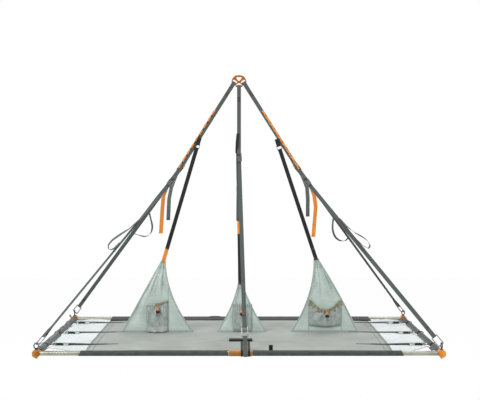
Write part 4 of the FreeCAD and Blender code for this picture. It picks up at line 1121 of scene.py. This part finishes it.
for index, (side, spec) in enumerate(DIVIDERS.items()):
    a, b, top = spec["pocket"]
    lock_x, _, lock_z = mm(*LOCKS[side])

    def pocket_ends(s, side=side, a=a, b=b, top=top):
        """Heights of the pocket's bottom and rim."""
        if side == "right":
            foot = -1.4055 - 0.0085 * math.sin(math.pi * s)
        else:
            foot = bed_height(a + (b - a) * s, -0.01) + 0.003
        return foot, top - level(HEM_LINES[side], s)

    def pocket_spot(s, t, side=side, a=a, b=b, index=index, lock_x=lock_x, lock_z=lock_z):
        x = a + (b - a) * s
        foot, rim = pocket_ends(s)
        z = foot + (rim - foot) * t
        belly = math.sin(math.pi * s) ** 0.45
        depth = 0.0165 * belly * (0.55 + 0.45 * math.sin(math.pi * min(1.0, t + 0.1)))
        gather = 0.0018 * math.sin(s * 58 + index * 3) * t ** 2 * belly
        if side == "middle":
            fold = -0.0075 * (math.exp(-((s - 0.13) / 0.05) ** 2) + math.exp(-((s - 0.80) / 0.05) ** 2))
            fold = -fold * math.sin(math.pi * min(1.0, t + 0.15)) * belly
        else:
            turn = math.atan2(x - lock_x, z - lock_z - 0.050)
            far = min(1.0, math.hypot(x - lock_x, z - lock_z - 0.050) / 0.05)
            fold = 0.0034 * math.sin(turn * 9 + index) * math.sin(math.pi * t) ** 0.6 * belly * far
        if side == "left":
            fold -= 0.0080 * math.exp(-((s - 0.06) / 0.05) ** 2) * math.sin(math.pi * t)
            spill = 0.034 * math.exp(-(t / 0.09) ** 2) * belly * (1 + 0.25 * math.sin(s * 19))
            z += 0.0030 * (1 + noise.noise(Vector((s * 7, t * 12,
                                                   4.0)))) * math.exp(-((t - 0.06) / 0.07) ** 2)
        else:
            spill = 0.0
            depth *= min(1.0, 0.25 + t * 7)
        return Vector((x, -0.0026 - depth - gather - spill + fold, z))

    pocket = cloth_grid("pocket_" + side, pocket_spot, 72, 54,
                        lambda s, t, a=a, b=b: ((b - a) * 1.25 * s, 0.19 * t), pocket_mesh, 0.0010)
    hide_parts("divider_pockets")
    tall = sum(pocket_ends(k / 40)[1] - pocket_ends(k / 40)[0] for k in range(41)) / 41
    top - pocket_ends(0.5)[0]
    rim_line = [pocket_spot(k / 90, 1.0) + Vector((0, 0.0004 * math.sin(k * 1.9),
                                                   -0.005 + 0.0012 * math.sin(k * 1.3)))
                for k in range(91)]
    rim, _ = strap("pocket_hem_" + side, rim_line, Vector((0, 0, 1)),
                   pocket_mesh if side == "middle" else khaki_hem,
                   0.030 if side == "right" else 0.012, 0.0026, ripple=0.0030, columns=8,
                   bands=[(0.0, 0.070, pocket_mesh)] if side == "left" else ())
    x, y, z = LOCKS[side]
    pull_line = eased([mm(x, -19.5, z + 34), mm(x, -23.5, z + 24), mm(x, y - 3.2, z + 20),
                       mm(x, y - 3.6, z + 9.5),
                       mm(x, y + 3.6, z + 9.5), mm(x, y + 3.4, z + 20), mm(x, -20.5, z + 23)], 0.004, 0.002)
    pull, _ = strap("pocket_pull_" + side, pull_line, Vector((1, 0, 0)), orange_webbing, 0.011, 0.0014,
                    columns=4)
    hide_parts("pocket_pulls")


# Divider straps
# Black webbing from each apex up to the middle or side trunk. The side ones hang in a flat metal
# clip; the left one and the middle one have a piece of orange webbing let in.

apex_sewing = []
DIVIDER_STRAPS = {
    "left": ((0.9586, 0.0033, -0.2846),
             [[(-430.0, -3.1, -1046.0), (-251.1, -10.0, -443.1), (-240.8, -6.5, -408.3),
               (-237.5, -6.6, -397.1),
               (-237.5, -14.4, -397.2), (-240.8, -14.3, -408.4), (-250.0, -12.4, -439.3)],
              [(-220.6, -11.2, -340.5), (-229.8, -6.9, -371.3), (-233.1, -6.8, -382.6),
               (-233.1, -14.6, -382.7),
               (-229.8, -14.7, -371.4), (-221.8, -13.5, -344.4)]]),
    "middle": ((0.9999, 0.0, 0.0172), [[(7.0, -2.8, -1172.0), (-6.0, -3.4, -414.0)]]),
    "right": ((0.9490, -0.0037, 0.3153),
              [[(438.0, -3.1, -1033.0), (244.5, -10.0, -450.7), (233.1, -6.5, -416.3),
                (229.4, -6.6, -405.2),
                (229.4, -14.4, -405.2), (233.1, -14.3, -416.3), (243.2, -12.4, -446.9)],
               [(210.8, -11.2, -349.1), (220.9, -6.9, -379.6), (224.6, -6.8, -390.7),
                (224.6, -14.6, -390.8),
                (220.9, -14.7, -379.7), (212.0, -13.5, -352.9)]]),
}
LET_IN = {"left": [(0.0, 0.080, orange_webbing)], "middle": [(0.286, 0.356, orange_webbing)], "right": []}
for side, (wide, routes) in DIVIDER_STRAPS.items():
    for number, route in enumerate(routes):
        line = eased([mm(*p) for p in route], 0.008, 0.008)
        piece, stations = strap(f"divider_strap_{side}_{number}", line, Vector(wide), black_webbing,
                                ripple=0.0004,
                                bands=LET_IN[side] if number == 0 else ())
        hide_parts("divider_straps")
        if number == 0:
            apex_sewing += bartack(stations, 0.003, 0.012)
            if side == "left":
                apex_sewing += bartack(stations, 0.073, 0.014)
            if side == "right":
                apex_sewing += bartack(stations, 0.062, 0.010)
threads("divider_bartacks", apex_sewing, orange_thread, 0.0007)

# The middle strap's spare end, folded back beside the trunk
end_line = eased([mm(-7, -6, -318), mm(-12, -7.5, -366), mm(-14, -7.5, -424), mm(-9, -6.5, -430)], 0.03,
                 0.005)
end, _ = strap("divider_strap_end", end_line, Vector((1, -0.2, 0.1)), black_webbing, 0.014, 0.0018,
               columns=4)


# Strap tails
# The loose ends of the leg straps below the cam buckles: orange at the front corners and grey
# elsewhere. Each hangs nearly straight, turned and curled a little by its own stiffness.

TAILS = {
    "front_left": (orange_webbing, [(-404.7, -52.9, -618.4), (-424, -52.9, -669), (-430, -52.9, -748),
                                    (-438, -52.9, -879)]),
    "rear_left": (light_webbing, [(-355.6, 49.8, -541.4), (-386, 49.8, -622), (-399, 49.8, -690),
                                  (-404, 49.8, -810)]),
    "front_middle": (grey_webbing, [(1.8, -54.7, -492), (2, -54.7, -520), (-3, -54.7, -640),
                                    (-5, -54.7, -808)]),
    "rear_middle": (grey_webbing, [(0.5, 62.8, -676.9), (0, 62.8, -700), (2, 62.8, -760), (0, 62.8, -850)]),
    "front_right": (orange_webbing, [(404.7, -52.9, -618.4), (421, -52.9, -664), (430, -52.9, -730),
                                     (417, -52.9, -899)]),
    "rear_right": (light_webbing, [(355.6, 49.8, -541.4), (388, 49.8, -622), (393, 49.8, -690),
                                   (392, 49.8, -789)]),
}
tail_sewing = []
for leg, (cloth, route) in TAILS.items():
    top, foot, wide = mm(*LEGS[leg][0]), mm(*LEGS[leg][1]), Vector(LEGS[leg][2])
    out = Vector(LEGS[leg][4])
    down = (foot - top).normalized()
    start = top + down * 0.050 + out * (STUB / 1000 - 0.0022)
    line = eased([start] + [mm(*p) - out * 0.0022 for p in route[:1]] + [mm(*p) for p in route[1:]], 0.06,
                 0.006)
    total = (line[-1] - line[0]).length

    def lie(point, line=line, wide=wide, total=total, leg=leg):
        share = min(1.0, (point - line[0]).length / 0.11)
        flat = Vector((1, 0, 0.12)) if wide.z < 0 else Vector((1, 0, -0.12))
        spin = Matrix.Rotation(0.30 * math.sin((point - line[0]).length * 17 + len(leg)) * share, 3, "Z")
        return wide.lerp(spin @ flat, share * share * (3 - 2 * share))

    piece, stations = strap("strap_tail_" + leg, line, lie, cloth, thick=0.0016, ripple=0.0016)
    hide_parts("strap_tails")
    tail_sewing += bartack(stations, stations[-1][0] - 0.014, 0.009, 0.0016)
    if cloth is orange_webbing:
        tail_sewing += bartack(stations, stations[-1][0] - 0.070, 0.004, 0.0016)
threads("tail_bartacks", tail_sewing, khaki_thread, 0.0006)


# Slack loops
# Spare webbing, 12 mm wide, left in loose loops along the corner legs and tacked to them.

SLACK = {
    "front_left": ((-0.6548, 0.7558, 0), [(-550.1, -183.9, -798.7), (-595.5, -223.1, -841.6),
                                          (-644.6, -265.7, -874.3),
                   (-680.9, -297.1, -900.6), (-701.3, -314.8, -926.6), (-696.8, -310.9, -952.9),
                   (-672.6, -289.9, -948.0), (-642.3, -263.7, -916.4)]),
    "rear_left": ((0.6285, 0.7778, 0), [(-524.1, 190.8, -774.7), (-515.5, 183.9, -808.6),
                                        (-503.1, 173.8, -854.4),
                  (-515.5, 183.9, -898.6), (-549.7, 211.5, -916.0), (-588.6, 243.0, -907.5),
                  (-621.3, 269.4, -900.9)]),
    "front_right": ((-0.6548, -0.7558, 0), [(550.1, -183.9, -787.7), (590.2, -218.6, -832.8),
                                            (629.5, -252.6, -864.0),
                    (664.3, -282.7, -883.4), (687.7, -303.0, -900.3), (702.1, -315.5, -927.6),
                    (694.5, -308.9, -945.0),
                    (668.0, -286.0, -931.2), (639.3, -261.1, -901.5)]),
    "rear_right": ((0.6285, -0.7778, 0), [(555.2, 215.9, -805.1), (549.0, 210.9, -842.0),
                                          (550.5, 212.2, -882.0),
                   (566.9, 225.4, -921.2), (601.1, 253.0, -944.6), (633.8, 279.4, -944.0),
                   (649.3, 292.0, -927.2)]),
}
slack_sewing = []
for leg, (wide, route) in SLACK.items():
    line = eased([mm(*p) for p in route], 0.09, 0.005)
    middle = line[len(line) // 2]

    def turned(point, wide=wide, line=line, middle=middle):
        """Each loop rolls a little on its way round, so that its face shows at the bend."""
        share = min(1.0, (point - middle).length / 0.09)
        return Vector(wide) + Vector((0.30, 0.0, 0.75)) * (1 - share * share)

    piece, stations = strap("slack_loop_" + leg, line, turned, light_webbing, 0.013, 0.0016, ripple=0.0012,
                            columns=4)
    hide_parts("slack_loops")
    slack_sewing += bartack(stations, 0.004, 0.012, 0.0016, 0.010)
    slack_sewing += bartack(stations, stations[-1][0] - 0.016, 0.012, 0.0016, 0.010)
threads("slack_bartacks", slack_sewing, orange_thread, 0.0006)


# Studio
# A white cyclorama and soft lamps. The floor is far enough below the ledge that its shadow is faint.

FLOOR = -2.1
floor_mesh = bpy.data.meshes.new("floor")
floor_mesh.from_pydata([(-9, -9, FLOOR), (9, -9, FLOOR), (9, 9, FLOOR), (-9, 9, FLOOR)], [], [(0, 1, 2, 3)])
floor = bpy.data.objects.new("floor", floor_mesh)
scene.collection.objects.link(floor)
paint, tree = new_material("white studio paint")
path = add(tree, "LightPath")
seen = add(tree, "Math", {0: path.outputs["Is Camera Ray"], 1: path.outputs["Is Glossy Ray"]},
           operation="MAXIMUM")
seen = add(tree, "Math", {0: seen, 1: path.outputs["Is Transmission Ray"]}, operation="MAXIMUM")
share = add(tree, "Math", {0: seen, 1: 0.97}, operation="MULTIPLY")
matt = add(tree, "BsdfDiffuse", {"Color": (0.9, 0.9, 0.9, 1.0)})
glow = add(tree, "Emission", {"Color": (1.0, 1.0, 1.0, 1.0), "Strength": 1.0})
both = add(tree, "MixShader", {0: share, 1: matt, 2: glow})
add(tree, "OutputMaterial", {"Surface": both})
floor_mesh.materials.append(paint)

world = bpy.data.worlds.new("studio")
scene.world = world
world.use_nodes = True
tree = world.node_tree
tree.nodes.clear()
path = add(tree, "LightPath")
seen = add(tree, "Math", {0: path.outputs["Is Camera Ray"], 1: path.outputs["Is Glossy Ray"]},
           operation="MAXIMUM")
seen = add(tree, "Math", {0: seen, 1: path.outputs["Is Transmission Ray"]}, operation="MAXIMUM")
soft = add(tree, "Background", {"Color": (0.96, 0.98, 1.0, 1.0), "Strength": 0.62})
white = add(tree, "Background", {"Color": (1.0, 1.0, 1.0, 1.0), "Strength": 1.0})
sky = add(tree, "MixShader", {0: seen, 1: soft, 2: white})
add(tree, "OutputWorld", {"Surface": sky})

for name, place, power, size in (("key", (-3.0, -3.2, 1.6), 130.0, 2.2),
                                 ("fill", (3.0, -3.0, 0.9), 45.0, 2.6),
                                 ("top", (0.2, 1.2, 2.4), 70.0, 3.0)):
    lamp = bpy.data.lights.new(name, "AREA")
    lamp.energy, lamp.size = power, size
    light = bpy.data.objects.new(name, lamp)
    light.location = place
    light.rotation_euler = (Vector((0, 0, -0.9)) - Vector(place)).to_track_quat("-Z", "Y").to_euler()
    scene.collection.objects.link(light)

scene.view_settings.view_transform = "Standard"
